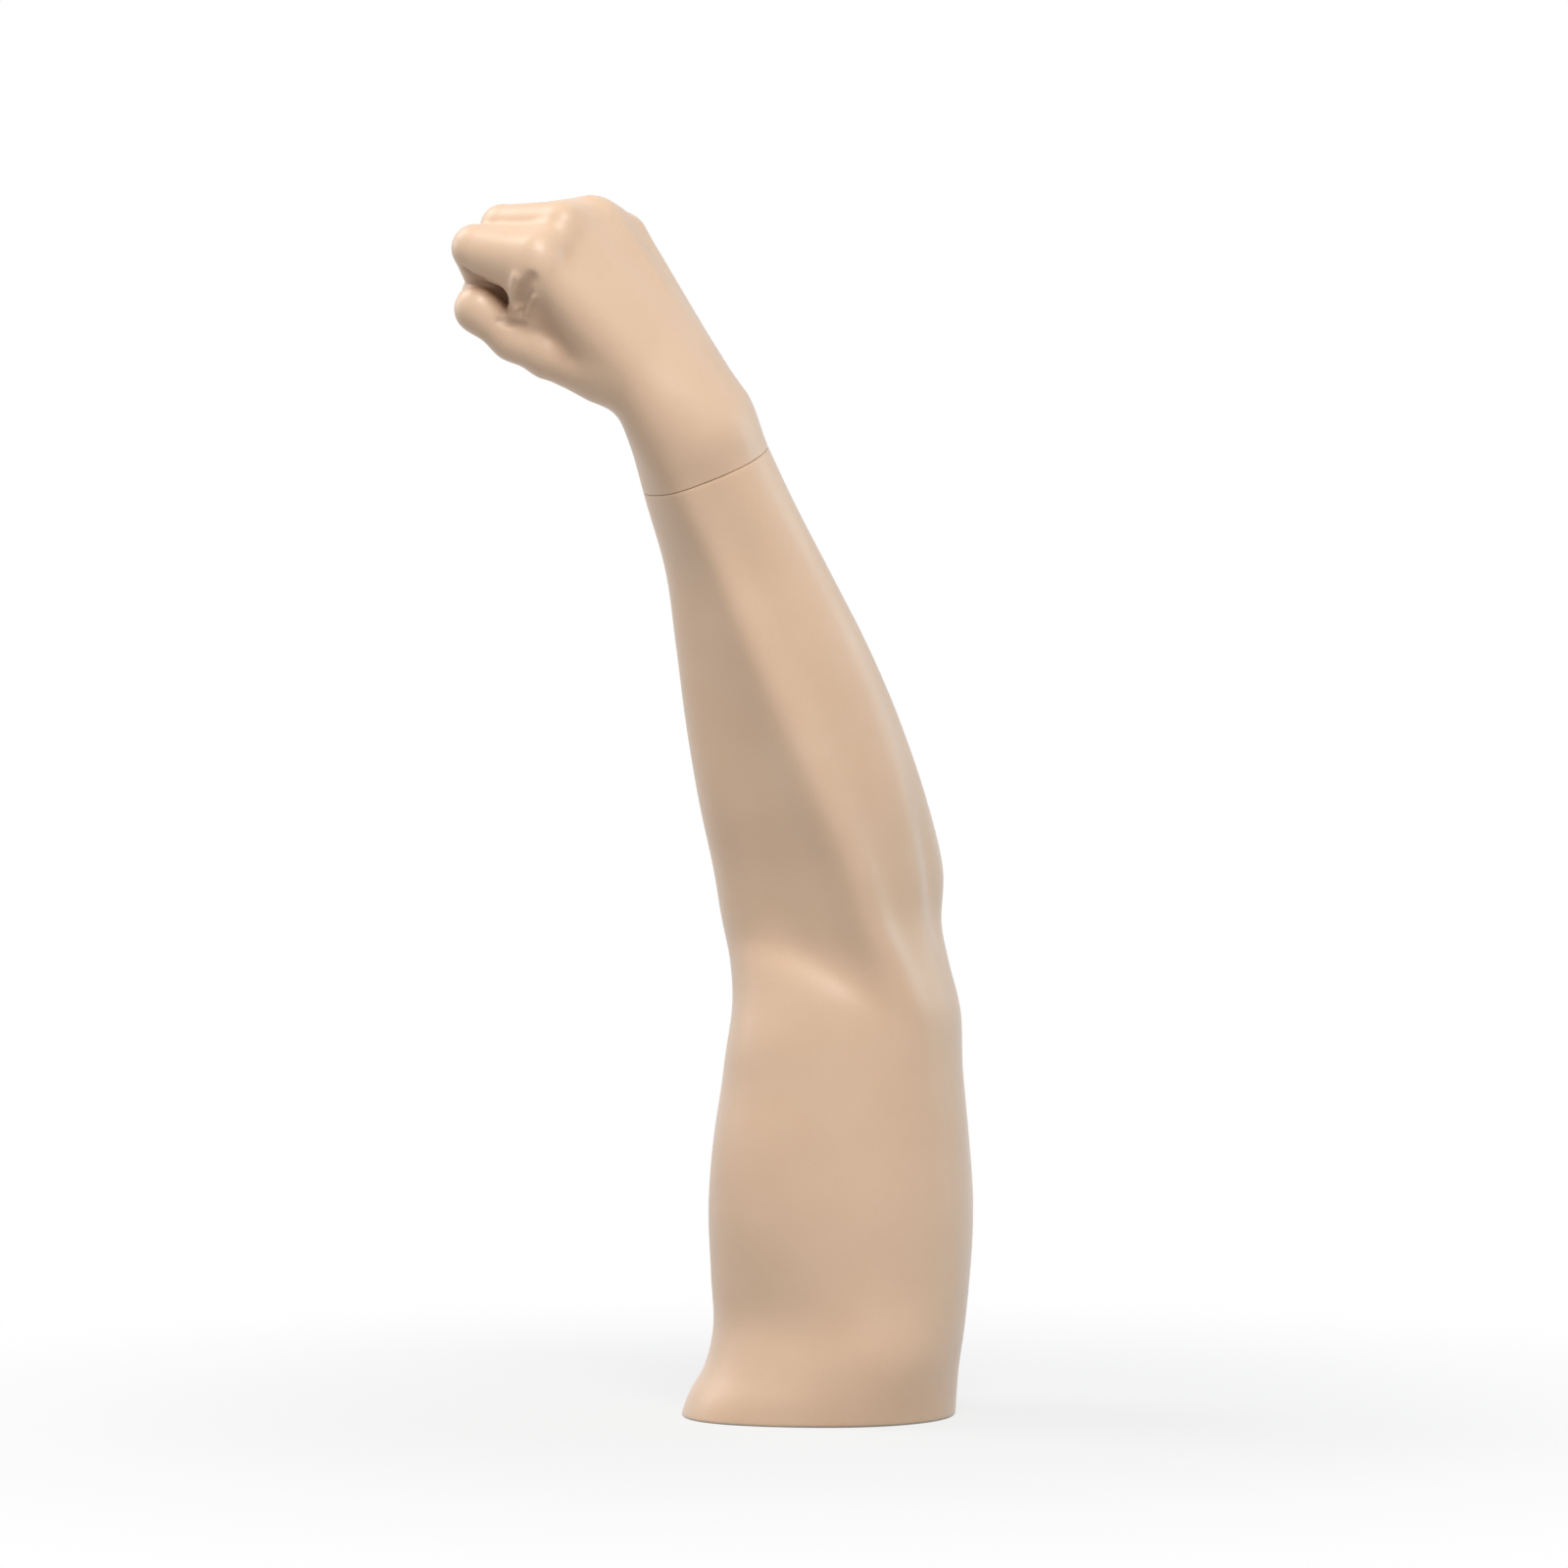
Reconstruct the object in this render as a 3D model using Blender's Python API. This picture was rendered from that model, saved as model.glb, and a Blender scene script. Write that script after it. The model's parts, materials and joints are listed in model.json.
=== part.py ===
"""Arm display stand: a hollow raised arm with a lift-off fist on a friction wrist.

It stands on the flat cut end of the upper arm. Metres, +Z up. The origin is the middle of
the resting face; +X is the viewer's right, -Y is towards the viewer.
"""
import math

import bmesh
import bpy
from mathutils import Matrix, Vector

for old in list(bpy.data.objects):
    bpy.data.objects.remove(old, do_unlink=True)

# Arm outline: height, then the left, right, front and back edges of the section there
STATIONS = (
    (0.000, -0.0585, 0.0590, -0.0520, 0.0500),
    (0.009, -0.0555, 0.0595, -0.0520, 0.0500),
    (0.020, -0.0495, 0.0603, -0.0510, 0.0500),
    (0.035, -0.0456, 0.0623, -0.0500, 0.0500),
    (0.060, -0.0460, 0.0645, -0.0510, 0.0510),
    (0.088, -0.0465, 0.0655, -0.0520, 0.0510),
    (0.120, -0.0440, 0.0640, -0.0510, 0.0500),
    (0.150, -0.0396, 0.0620, -0.0490, 0.0490),
    (0.176, -0.0362, 0.0610, -0.0470, 0.0470),
    (0.195, -0.0380, 0.0560, -0.0460, 0.0430),
    (0.212, -0.0418, 0.0515, -0.0480, 0.0390),
    (0.235, -0.0455, 0.0505, -0.0530, 0.0350),
    (0.262, -0.0510, 0.0465, -0.0600, 0.0270),
    (0.295, -0.0565, 0.0360, -0.0660, 0.0160),
    (0.330, -0.0610, 0.0210, -0.0720, 0.0020),
    (0.362, -0.0655, 0.0045, -0.0770, -0.0130),
    (0.392, -0.0740, -0.0110, -0.0860, -0.0255),
    (0.412, -0.0792, -0.0205, -0.0920, -0.0335),
    (0.430, -0.0837, -0.0289, -0.0970, -0.0385),
    (0.450, -0.0896, -0.0379, -0.1020, -0.0440),
)
# Swellings and hollows: height, half length, angle, drift of it per 0.1 m, rise, half spread in degrees
# Angles run from the right edge (0) over the front (90) to the left edge (180)
MUSCLES = (
    (0.300, 0.085, 94, 24, 0.0055, 16),      # forearm ridge
    (0.215, 0.048, 70, 26, 0.0055, 13),      # its lower end, which crosses the elbow
    (0.290, 0.080, 136, 18, -0.0045, 24),    # flat inner forearm
    (0.232, 0.026, -14, 0, 0.0040, 22),      # extensor bulge
    (0.238, 0.034, 20, 8, -0.0025, 10),      # groove beside it
    (0.100, 0.042, 140, 0, 0.0040, 32),      # biceps
    (0.166, 0.016, 126, 0, 0.0035, 40),      # biceps end
    (0.090, 0.055, 318, 0, 0.0050, 36),      # triceps
    (0.028, 0.020, 66, 0, 0.0060, 30),       # shoulder mass
    (0.000, 0.014, 150, 0, 0.0025, 24),      # flare of the cut end
    (0.046, 0.020, 122, 0, -0.0030, 28),     # hollow over it
    (0.182, 0.016, 322, 0, 0.0050, 15),      # elbow point
    (0.186, 0.014, 238, 0, 0.0030, 15),      # inner elbow knob
    (0.425, 0.050, 121, 0, 0.0035, 30),      # thumb side of the wrist
    (0.425, 0.050, 301, 0, 0.0035, 30),      # little finger side of it
    (0.425, 0.050, 35, 0, -0.0025, 30),      # back of it
    (0.425, 0.050, 215, 0, -0.0025, 30),     # palm side of it
)
# Fold of the elbow, where the inner forearm steps in above the upper arm
FOLD_TOP = 0.200
FOLD_TOP_ANGLE = 150
FOLD_FALL = 4.3e-6
FOLD_DEPTH = 0.0065
FOLD_SOFTNESS = 0.0040
FOLD_LENGTH = 0.048
FOLD_ANGLE = 122
FOLD_SPREAD = 38
SECTION_POWER = 2.15
AROUND = 32
RING_STEP = 0.015
ELBOW_STEP = 0.007
ELBOW_FROM = 0.165
ELBOW_TO = 0.228
ARM_TOP = 0.450
WALL = 0.0035

# Wrist seam: its middle and the axis that the hand turns on
SEAM = Vector((-0.0474, -0.0605, 0.4035))
AXIS = Vector((-0.349, -0.230, 0.9086)).normalized()
SEAM_GAP = 0.0005

# Hand frame at the narrow of the wrist: towards the knuckles, the thumb side and out of the back
HAND_ORIGIN = Vector((-0.0567, -0.0660, 0.4290))
HAND_UP = Vector((-0.54, -0.26, 0.80)).normalized()
HAND_THUMB = Vector((-0.42, -0.74, -0.525))
HAND_THUMB = (HAND_THUMB - HAND_UP * HAND_THUMB.dot(HAND_UP)).normalized()
HAND_BACK = HAND_UP.cross(HAND_THUMB)
# Rounded limbs of the fist in that frame: chains of (up, thumb, back, radius)
LIMBS = (
    ((-0.008, 0.012, 0.005, 0.0176), (0.084, 0.023, -0.003, 0.0124)),
    ((-0.008, 0.004, 0.007, 0.0189), (0.087, 0.004, 0.0015, 0.0128)),
    ((-0.008, -0.005, 0.005, 0.0181), (0.081, -0.016, 0.0015, 0.0128)),
    ((-0.008, -0.012, 0.001, 0.0166), (0.0702, -0.031, -0.002, 0.0119)),
    ((0.006, -0.012, -0.009, 0.0151), (0.040, -0.024, -0.015, 0.0151), (0.062, -0.028, -0.015, 0.0126)),
    ((0.014, 0.006, -0.005, 0.0106), (0.046, 0.0135, -0.017, 0.0138)),
    ((0.030, -0.006, -0.010, 0.0151), (0.068, -0.006, -0.016, 0.0131)),
    ((0.016, 0.011, -0.004, 0.0076), (0.033, 0.0175, -0.009, 0.0122), (0.0534, 0.0272, -0.021, 0.0120),
     (0.0657, 0.0306, -0.0301, 0.0096), (0.0826, 0.0309, -0.0372, 0.0102), (0.087, 0.005, -0.046, 0.0092)),
    ((0.046, 0.019, -0.008, 0.0091), (0.080, 0.026, -0.011, 0.0086), (0.069, 0.0285, -0.024, 0.0081)),
    ((0.090, 0.024, -0.003, 0.0112), (0.1044, 0.0205, -0.0286, 0.0104), (0.084, 0.0205, -0.035, 0.0088),
     (0.073, 0.008, -0.020, 0.0080)),
    ((0.093, 0.004, 0.0015, 0.0115), (0.104, 0.004, -0.0235, 0.0099), (0.082, 0.003, -0.034, 0.0094),
     (0.070, 0.003, -0.020, 0.0086)),
    ((0.086, -0.016, 0.0003, 0.0110), (0.0945, -0.016, -0.0245, 0.0098), (0.077, -0.013, -0.034, 0.0090),
     (0.068, -0.012, -0.018, 0.0082)),
    ((0.0722, -0.0318, -0.003, 0.0099), (0.082, -0.0325, -0.025, 0.0089), (0.069, -0.028, -0.033, 0.0080),
     (0.062, -0.026, -0.020, 0.0074)),
    ((0.0865, 0.0255, -0.007, 0.0108), (0.098, 0.0225, -0.024, 0.0092)),
    ((0.0915, 0.014, -0.0008, 0.0088), (0.1042, 0.0123, -0.0261, 0.0042)),
    ((0.0895, -0.006, 0.0009, 0.0099), (0.0993, -0.006, -0.024, 0.0049)),
    ((0.0791, -0.0239, -0.0014, 0.0115), (0.0883, -0.0243, -0.0248, 0.0064)),
)
# Stretch of the arm's loft around the seam, and how it closes under the palm: (rise, further inset)
WRIST_BELOW = 0.0315
WRIST_ABOVE = 0.0105
WRIST_TAPER = ((0.008, 0.0012), (0.016, 0.0039), (0.024, 0.0082), (0.032, 0.0140))
HAND_VOXEL = 0.0026
HAND_SMOOTHING = 7
HAND_FACES = 3600
# Hollow of the palm
PALM_HOLLOW = (
    (0.006, 0.000, 0.000, 0.0140), (0.060, 0.008, -0.003, 0.0070), (0.058, -0.014, -0.003, 0.0070),
)

# Base
BOARD_THICK = 0.012
FIT_GAP = 0.0004
CLEAT_DEPTH = 0.013
CLEAT_TALL = 0.020
CLEAT_ANGLES = (45, 135, 225, 315)
CLEAT_HALF_ANGLE = 13.5
BALLAST_RADIUS = 0.031
BALLAST_TALL = 0.026
BALLAST_CENTRE = (0.0085, -0.0005)
BALLAST_SCREW_INSET = 0.012

# Screws
WOOD_SCREW_RADIUS = 0.0020
WOOD_SCREW_HEAD = 0.0040
WOOD_SCREW_LONG = 0.026
SMALL_SCREW_RADIUS = 0.0013
SMALL_SCREW_HEAD = 0.0027
SMALL_SCREW_LONG = 0.009
SCREW_GAP = 0.0003
SCREW_SIDES = 12

# Wrist fitting; heights run along the wrist axis from the seam
PLUG_TOP = -0.0040
PLUG_THICK = 0.010
BUSH_FLANGE_RADIUS = 0.0165
BUSH_FLANGE_THICK = 0.0030
BUSH_BARREL_RADIUS = 0.0080
BUSH_PROUD = 0.006
BUSH_SCREW_CIRCLE = 0.0124
SHAFT_RADIUS = 0.0050
COLLAR_RADIUS = 0.0085
COLLAR_THICK = 0.0025
PEG_SIDE = 0.0140
PEG_TALL = 0.0130
WASHER_RADIUS = 0.0095
WASHER_THICK = 0.0016
NUT_ACROSS = 0.016
NUT_TALL = 0.0080
SHAFT_PROUD = 0.0020
RUN_GAP = 0.0003

# Hand fitting
PLATE_LONG = 0.033
PLATE_WIDE = 0.024
PLATE_THICK = 0.0025
PLATE_SCREW_INSET = 0.0038
BLOCK_TALL = 0.022
MAGNET_RADIUS = 0.0050
MAGNET_THICK = 0.0040

SKIN = (0.72, 0.50, 0.35)
WOOD = (0.62, 0.44, 0.26)
STEEL = (0.60, 0.61, 0.63)
BRASS = (0.72, 0.53, 0.22)
DARK_STEEL = (0.20, 0.20, 0.22)


# Node helpers
def material(name, colour, roughness, metallic):
    made = bpy.data.materials.new(name)
    made.use_nodes = True
    shader = made.node_tree.nodes["Principled BSDF"]
    shader.inputs["Base Color"].default_value = (*colour, 1.0)
    shader.inputs["Roughness"].default_value = roughness
    shader.inputs["Metallic"].default_value = metallic
    return made


def body(name, place, parent=None):
    empty = bpy.data.objects.new(name, None)
    bpy.context.scene.collection.objects.link(empty)
    empty.parent = parent
    empty.location = place - (parent.location if parent else Vector())
    return empty


def solid(name, bm):
    """Object in world coordinates from a bmesh, faces turned outward."""
    bmesh.ops.remove_doubles(bm, verts=bm.verts, dist=1e-6)
    bmesh.ops.recalc_face_normals(bm, faces=bm.faces)
    mesh = bpy.data.meshes.new(name)
    bm.to_mesh(mesh)
    bm.free()
    made = bpy.data.objects.new(name, mesh)
    bpy.context.scene.collection.objects.link(made)
    return made


def attach(made, empty, place, look):
    """Gives a finished piece its origin on the body's axis, its parent and its material."""
    made.data.transform(Matrix.Translation(-place))
    made.parent = empty
    made.data.materials.clear()
    made.data.materials.append(material(made.name + "_surface", *look))


def apply_modifier(made, kind, **settings):
    modifier = made.modifiers.new(kind.lower(), kind)
    for key, value in settings.items():
        setattr(modifier, key, value)
    graph = bpy.context.evaluated_depsgraph_get()
    mesh = bpy.data.meshes.new_from_object(made.evaluated_get(graph))
    made.modifiers.clear()
    made.data = mesh


def combine(made, tools, operation):
    for tool in tools:
        tool.hide_render = True
        tool.display_type = "WIRE"
        apply_modifier(made, "BOOLEAN", operation=operation, object=tool, solver="EXACT")
        bpy.data.objects.remove(tool, do_unlink=True)


def cut(made, *tools):
    combine(made, tools, "DIFFERENCE")


def trim(made, point, normal):
    """Keeps the side of a plane that the normal points away from, and closes it."""
    bm = bmesh.new()
    bm.from_mesh(made.data)
    found = bmesh.ops.bisect_plane(bm, geom=bm.verts[:] + bm.edges[:] + bm.faces[:], dist=1e-6,
                                   plane_co=point, plane_no=normal, clear_outer=True)
    edges = [item for item in found["geom_cut"] if isinstance(item, bmesh.types.BMEdge)]
    bmesh.ops.edgeloop_fill(bm, edges=edges)
    bmesh.ops.recalc_face_normals(bm, faces=bm.faces)
    bm.to_mesh(made.data)
    bm.free()


# Arm sections
def smooth_value(table, column, height):
    """Smooth curve through a column of the station table."""
    at = [row[0] for row in table]
    value = [row[column] for row in table]
    height = min(max(height, at[0]), at[-1])
    i = max(k for k in range(len(at) - 1) if at[k] <= height)
    step = [at[k + 1] - at[k] for k in range(len(at) - 1)]
    slope = [(value[k + 1] - value[k]) / step[k] for k in range(len(step))]

    def tangent(k):
        if k == 0 or k == len(at) - 1:
            return slope[min(k, len(slope) - 1)]
        return (slope[k - 1] * step[k] + slope[k] * step[k - 1]) / (step[k - 1] + step[k])

    t = (height - at[i]) / step[i]
    return ((2 * t**3 - 3 * t**2 + 1) * value[i] + (t**3 - 2 * t**2 + t) * step[i] * tangent(i)
            + (3 * t**2 - 2 * t**3) * value[i + 1] + (t**3 - t**2) * step[i] * tangent(i + 1))


def arm_point(angle, height, inset):
    """Point of the arm's skin, moved in by the inset; the angle is in degrees."""
    left, right, front, back = (smooth_value(STATIONS, column, height) for column in (1, 2, 3, 4))
    across, deep = (right - left) / 2, (back - front) / 2
    turn = math.radians(angle)
    reach = ((abs(math.cos(turn)) / across) ** SECTION_POWER
             + (abs(math.sin(turn)) / deep) ** SECTION_POWER) ** (-1 / SECTION_POWER)
    for middle, half, at, drift, rise, spread in MUSCLES:
        off = (angle - at - drift * (height - middle) / 0.1 + 180) % 360 - 180
        reach += rise * math.exp(-((height - middle) / half) ** 2 - (off / spread) ** 2)
    above = height - FOLD_TOP + FOLD_FALL * max(FOLD_TOP_ANGLE - angle % 360, 0) ** 2
    step = FOLD_DEPTH / (1 + math.exp(-above / FOLD_SOFTNESS))
    step *= math.exp(-(max(above, 0) / FOLD_LENGTH) ** 2)
    reach -= step * math.exp(-((angle % 360 - FOLD_ANGLE) / FOLD_SPREAD) ** 2)
    reach -= inset
    across = (left + right) / 2 + reach * math.cos(turn)
    return Vector((across, (front + back) / 2 - reach * math.sin(turn), height))


def arm_loft(name, heights, inset, drop=0.0, taper=()):
    """Closed loft through the arm's sections.

    With a drop, the lowest section is repeated that far below. A taper adds rings given as
    (height, further inset).
    """
    bm = bmesh.new()
    levels = [(height, inset, 0.0) for height in heights]
    levels += [(height, inset + more, 0.0) for height, more in taper]
    if drop:
        levels.insert(0, (heights[0], inset, drop))
    rings = []
    for height, depth, down in levels:
        points = [arm_point(360 * j / AROUND, height, depth) for j in range(AROUND)]
        rings.append([bm.verts.new(point - Vector((0, 0, down))) for point in points])
    for lower, upper in zip(rings, rings[1:]):
        for j in range(AROUND):
            n = (j + 1) % AROUND
            bm.faces.new((lower[j], lower[n], upper[n], upper[j]))
    bm.faces.new(rings[0])
    bm.faces.new(rings[-1])
    return solid(name, bm)


def steps(low, high, step):
    count = max(1, round((high - low) / step))
    return [low + (high - low) * k / count for k in range(count + 1)]


def arm_sector(name, low, high, middle, half, inset, depth):
    """Block that follows the inside of the arm wall."""
    bm = bmesh.new()
    rings = []
    for height in steps(low, high, (high - low) / 3):
        angles = [middle - half + 2 * half * k / 3 for k in range(4)]
        ring = [arm_point(angle, height, inset) for angle in angles]
        ring += [arm_point(angle, height, inset + depth) for angle in reversed(angles)]
        rings.append([bm.verts.new(point) for point in ring])
    for lower, upper in zip(rings, rings[1:]):
        for j in range(len(lower)):
            n = (j + 1) % len(lower)
            bm.faces.new((lower[j], lower[n], upper[n], upper[j]))
    bm.faces.new(rings[0])
    bm.faces.new(rings[-1])
    return solid(name, bm)


# Turned and square pieces, placed along an axis
def axis_frame(place, axis, side):
    """Matrix with local Z on the axis and local X near the side direction."""
    across = (side - axis * side.dot(axis)).normalized()
    return Matrix.Translation(place) @ Matrix((across, axis.cross(across), axis)).transposed().to_4x4()


def turned(name, profile, frame, sides=36, phase=0.0):
    """Solid of revolution from (radius, height) pairs; the profile starts and ends at a flat face."""
    bm = bmesh.new()
    rings = []
    for radius, height in profile:
        turns = [phase + 2 * math.pi * j / sides for j in range(sides)]
        rings.append([bm.verts.new(frame @ Vector((radius * math.cos(t), radius * math.sin(t), height)))
                      for t in turns])
    for lower, upper in zip(rings, rings[1:]):
        for j in range(sides):
            n = (j + 1) % sides
            bm.faces.new((lower[j], lower[n], upper[n], upper[j]))
    bm.faces.new(rings[0])
    bm.faces.new(rings[-1])
    return solid(name, bm)


def cuboid(name, long, wide, low, high, frame):
    bm = bmesh.new()
    bmesh.ops.create_cube(bm, size=1.0)
    shape = Matrix.Diagonal((long, wide, high - low, 1.0))
    bm.transform(frame @ Matrix.Translation((0, 0, (low + high) / 2)) @ shape)
    return solid(name, bm)


def countersunk(name, frame, radius, head, length, gap=0.0):
    """Screw with its head face at the frame's origin, along -Z; with a gap it is the hole for one."""
    rim = 0.0005 + gap
    profile = [(radius + gap, -length - gap), (radius + gap, -rim - (head - radius)), (head + gap, -rim),
               (head + gap, 0.001 if gap else 0.0)]
    return turned(name, profile, frame, SCREW_SIDES)


# Fist
def ball_hull(name, balls, detail):
    """Hull around balls given in the hand frame."""
    bm = bmesh.new()
    for up, thumb, back, radius in balls:
        centre = HAND_ORIGIN + HAND_UP * up + HAND_THUMB * thumb + HAND_BACK * back
        place = Matrix.Translation(centre)
        bmesh.ops.create_icosphere(bm, subdivisions=detail, radius=radius, matrix=place)
    bmesh.ops.delete(bm, geom=bm.edges[:], context="EDGES_FACES")
    hull = bmesh.ops.convex_hull(bm, input=bm.verts)
    inside = [item for item in hull["geom_interior"] if isinstance(item, bmesh.types.BMVert)]
    bmesh.ops.delete(bm, geom=inside, context="VERTS")
    return solid(name, bm)


def fist(name):
    """Wrist and fist in one skin, cut off flat at the seam."""
    top = SEAM.z + WRIST_ABOVE
    taper = [(top + rise, more) for rise, more in WRIST_TAPER]
    pieces = [arm_loft("wrist", steps(SEAM.z - WRIST_BELOW, top, ELBOW_STEP), 0.0, taper=taper)]
    for chain in LIMBS:
        pieces += [ball_hull("limb", pair, 3) for pair in zip(chain, chain[1:])]
    bm = bmesh.new()
    for piece in pieces:
        bm.from_mesh(piece.data)
        bpy.data.objects.remove(piece, do_unlink=True)
    mesh = bpy.data.meshes.new(name)
    bm.to_mesh(mesh)
    bm.free()
    made = bpy.data.objects.new(name, mesh)
    bpy.context.scene.collection.objects.link(made)
    apply_modifier(made, "REMESH", mode="VOXEL", voxel_size=HAND_VOXEL)
    apply_modifier(made, "SMOOTH", factor=0.5, iterations=HAND_SMOOTHING)
    apply_modifier(made, "DECIMATE", ratio=min(1.0, HAND_FACES / (2 * len(made.data.polygons))))
    trim(made, SEAM + AXIS * SEAM_GAP, -AXIS)
    return made


def slice_of_arm(name, low, high, inset):
    """Plug that fills the arm's section between two heights along the wrist axis."""
    made = arm_loft(name, steps(SEAM.z - WRIST_BELOW, ARM_TOP, ELBOW_STEP), inset)
    trim(made, SEAM + AXIS * high, AXIS)
    trim(made, SEAM + AXIS * low, -AXIS)
    return made


# Bodies: the arm stands still, the swivel turns on the wrist axis, the hand lifts off the swivel's peg
arm = body("arm", Vector((0, 0, 0)))
swivel = body("wrist_swivel", SEAM, arm)
hand = body("hand", SEAM, swivel)
wrist_frame = axis_frame(SEAM, AXIS, HAND_THUMB)
down_frame = axis_frame(SEAM, -AXIS, HAND_THUMB)
skin = (SKIN, 0.5, 0.0)
wood = (WOOD, 0.7, 0.0)
steel = (STEEL, 0.35, 1.0)
brass = (BRASS, 0.3, 1.0)

# Arm shell
levels = [0.0] + steps(BOARD_THICK, ELBOW_FROM, RING_STEP) + steps(ELBOW_FROM, ELBOW_TO, ELBOW_STEP)[1:]
levels += steps(ELBOW_TO, ARM_TOP, RING_STEP)[1:]
arm_shell = arm_loft("arm_shell", levels, 0.0)
trim(arm_shell, SEAM, AXIS)
core = arm_loft("arm_core", levels, WALL, drop=0.002)
cut(arm_shell, core)
attach(arm_shell, arm, Vector(), skin)

# Base board, cleats and their screws
board = arm_loft("base_board", [0.0, BOARD_THICK], WALL + FIT_GAP)
cleat_low = BOARD_THICK + SCREW_GAP
for number, angle in enumerate(CLEAT_ANGLES, 1):
    cleat = arm_sector(f"cleat_{number}", cleat_low, cleat_low + CLEAT_TALL, angle, CLEAT_HALF_ANGLE,
                       WALL + 2 * FIT_GAP, CLEAT_DEPTH)
    screw_inset = WALL + 2 * FIT_GAP + CLEAT_DEPTH / 2
    spots = [arm_point(angle, height, screw_inset) for height in (0.0, cleat_low + CLEAT_TALL / 2)]
    spot = min(spots, key=lambda point: point.xy.length)
    spot.z = 0.0
    frame = axis_frame(spot, Vector((0, 0, -1)), Vector((1, 0, 0)))
    size = (WOOD_SCREW_RADIUS, WOOD_SCREW_HEAD, WOOD_SCREW_LONG)
    cut(board, countersunk("hole", frame, *size, gap=SCREW_GAP))
    cut(cleat, countersunk("hole", frame, *size, gap=SCREW_GAP))
    attach(cleat, arm, Vector(), wood)
    attach(countersunk(f"base_screw_{number}", frame, *size), arm, Vector(), steel)

# Ballast and its screws
middle = Vector((*BALLAST_CENTRE, 0.0))
upright = axis_frame(middle, Vector((0, 0, 1)), Vector((1, 0, 0)))
low = BOARD_THICK + SCREW_GAP
bevel = 0.0015
ballast = turned("ballast", [(BALLAST_RADIUS, low), (BALLAST_RADIUS, low + BALLAST_TALL - bevel),
                             (BALLAST_RADIUS - bevel, low + BALLAST_TALL)], upright, 48)
for number in range(1, 4):
    turn = math.radians(120 * number - 30)
    spot = middle + Vector((math.cos(turn), math.sin(turn), 0)) * (BALLAST_RADIUS - BALLAST_SCREW_INSET)
    frame = axis_frame(spot, Vector((0, 0, -1)), Vector((1, 0, 0)))
    size = (WOOD_SCREW_RADIUS, WOOD_SCREW_HEAD, WOOD_SCREW_LONG)
    cut(board, countersunk("hole", frame, *size, gap=SCREW_GAP))
    cut(ballast, countersunk("hole", frame, *size, gap=SCREW_GAP))
    attach(countersunk(f"ballast_screw_{number}", frame, *size), arm, Vector(), steel)
attach(board, arm, Vector(), wood)
attach(ballast, arm, Vector(), (DARK_STEEL, 0.5, 1.0))

# Wrist plug, bush and bush screws
plug = slice_of_arm("wrist_plug", PLUG_TOP - PLUG_THICK, PLUG_TOP, WALL + 2 * FIT_GAP)
cut(plug, turned("hole", [(BUSH_BARREL_RADIUS + RUN_GAP, PLUG_TOP - PLUG_THICK - 0.002),
                          (BUSH_BARREL_RADIUS + RUN_GAP, PLUG_TOP + 0.002)], wrist_frame))
flange_low = PLUG_TOP + RUN_GAP
flange_top = flange_low + BUSH_FLANGE_THICK
bush_low = PLUG_TOP - PLUG_THICK - BUSH_PROUD
bush = turned("wrist_bush", [(BUSH_BARREL_RADIUS, bush_low), (BUSH_BARREL_RADIUS, flange_low),
                             (BUSH_FLANGE_RADIUS, flange_low), (BUSH_FLANGE_RADIUS, flange_top)],
              wrist_frame)
bore = SHAFT_RADIUS + RUN_GAP
cut(bush, turned("bore", [(bore, bush_low - 0.002), (bore, flange_top + 0.002)],
                 wrist_frame))
for number in range(1, 4):
    turn = Matrix.Rotation(math.radians(120 * number + 17), 4, "Z")
    frame = wrist_frame @ turn @ Matrix.Translation((BUSH_SCREW_CIRCLE, 0, flange_top))
    size = (SMALL_SCREW_RADIUS, SMALL_SCREW_HEAD, SMALL_SCREW_LONG)
    cut(bush, countersunk("hole", frame, *size, gap=SCREW_GAP))
    cut(plug, countersunk("hole", frame, *size, gap=SCREW_GAP))
    attach(countersunk(f"bush_screw_{number}", frame, *size), arm, Vector(), steel)
attach(plug, arm, Vector(), wood)
attach(bush, arm, Vector(), brass)

# Swivel: spigot with a square peg, washer and nut
collar_low = flange_top + RUN_GAP
collar_top = collar_low + COLLAR_THICK
washer_top = bush_low - RUN_GAP
nut_top = washer_top - WASHER_THICK - RUN_GAP
shaft_low = nut_top - NUT_TALL - SHAFT_PROUD
spigot = turned("wrist_spigot", [(SHAFT_RADIUS - 0.0008, shaft_low), (SHAFT_RADIUS, shaft_low + 0.0008),
                                 (SHAFT_RADIUS, collar_low), (COLLAR_RADIUS, collar_low),
                                 (COLLAR_RADIUS, collar_top)], wrist_frame)
half_diagonal = PEG_SIDE / math.sqrt(2)
peg = turned("peg", [(half_diagonal, collar_top - 0.001), (half_diagonal, collar_top + PEG_TALL - 0.002),
                     (half_diagonal - 0.0018, collar_top + PEG_TALL)], wrist_frame, 4, math.pi / 4)
combine(spigot, [peg], "UNION")
washer_low = washer_top - WASHER_THICK
washer = turned("swivel_washer", [(WASHER_RADIUS, washer_low), (WASHER_RADIUS, washer_top)], wrist_frame)
nut_corner = NUT_ACROSS / math.sqrt(3)
nut = turned("swivel_nut", [(nut_corner, nut_top - NUT_TALL), (nut_corner, nut_top)],
             wrist_frame, 6)
for ring in (washer, nut):
    cut(ring, turned("bore", [(bore, shaft_low), (bore, bush_low)], wrist_frame))
for piece in (spigot, washer, nut):
    attach(piece, swivel, SEAM, steel)

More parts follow.
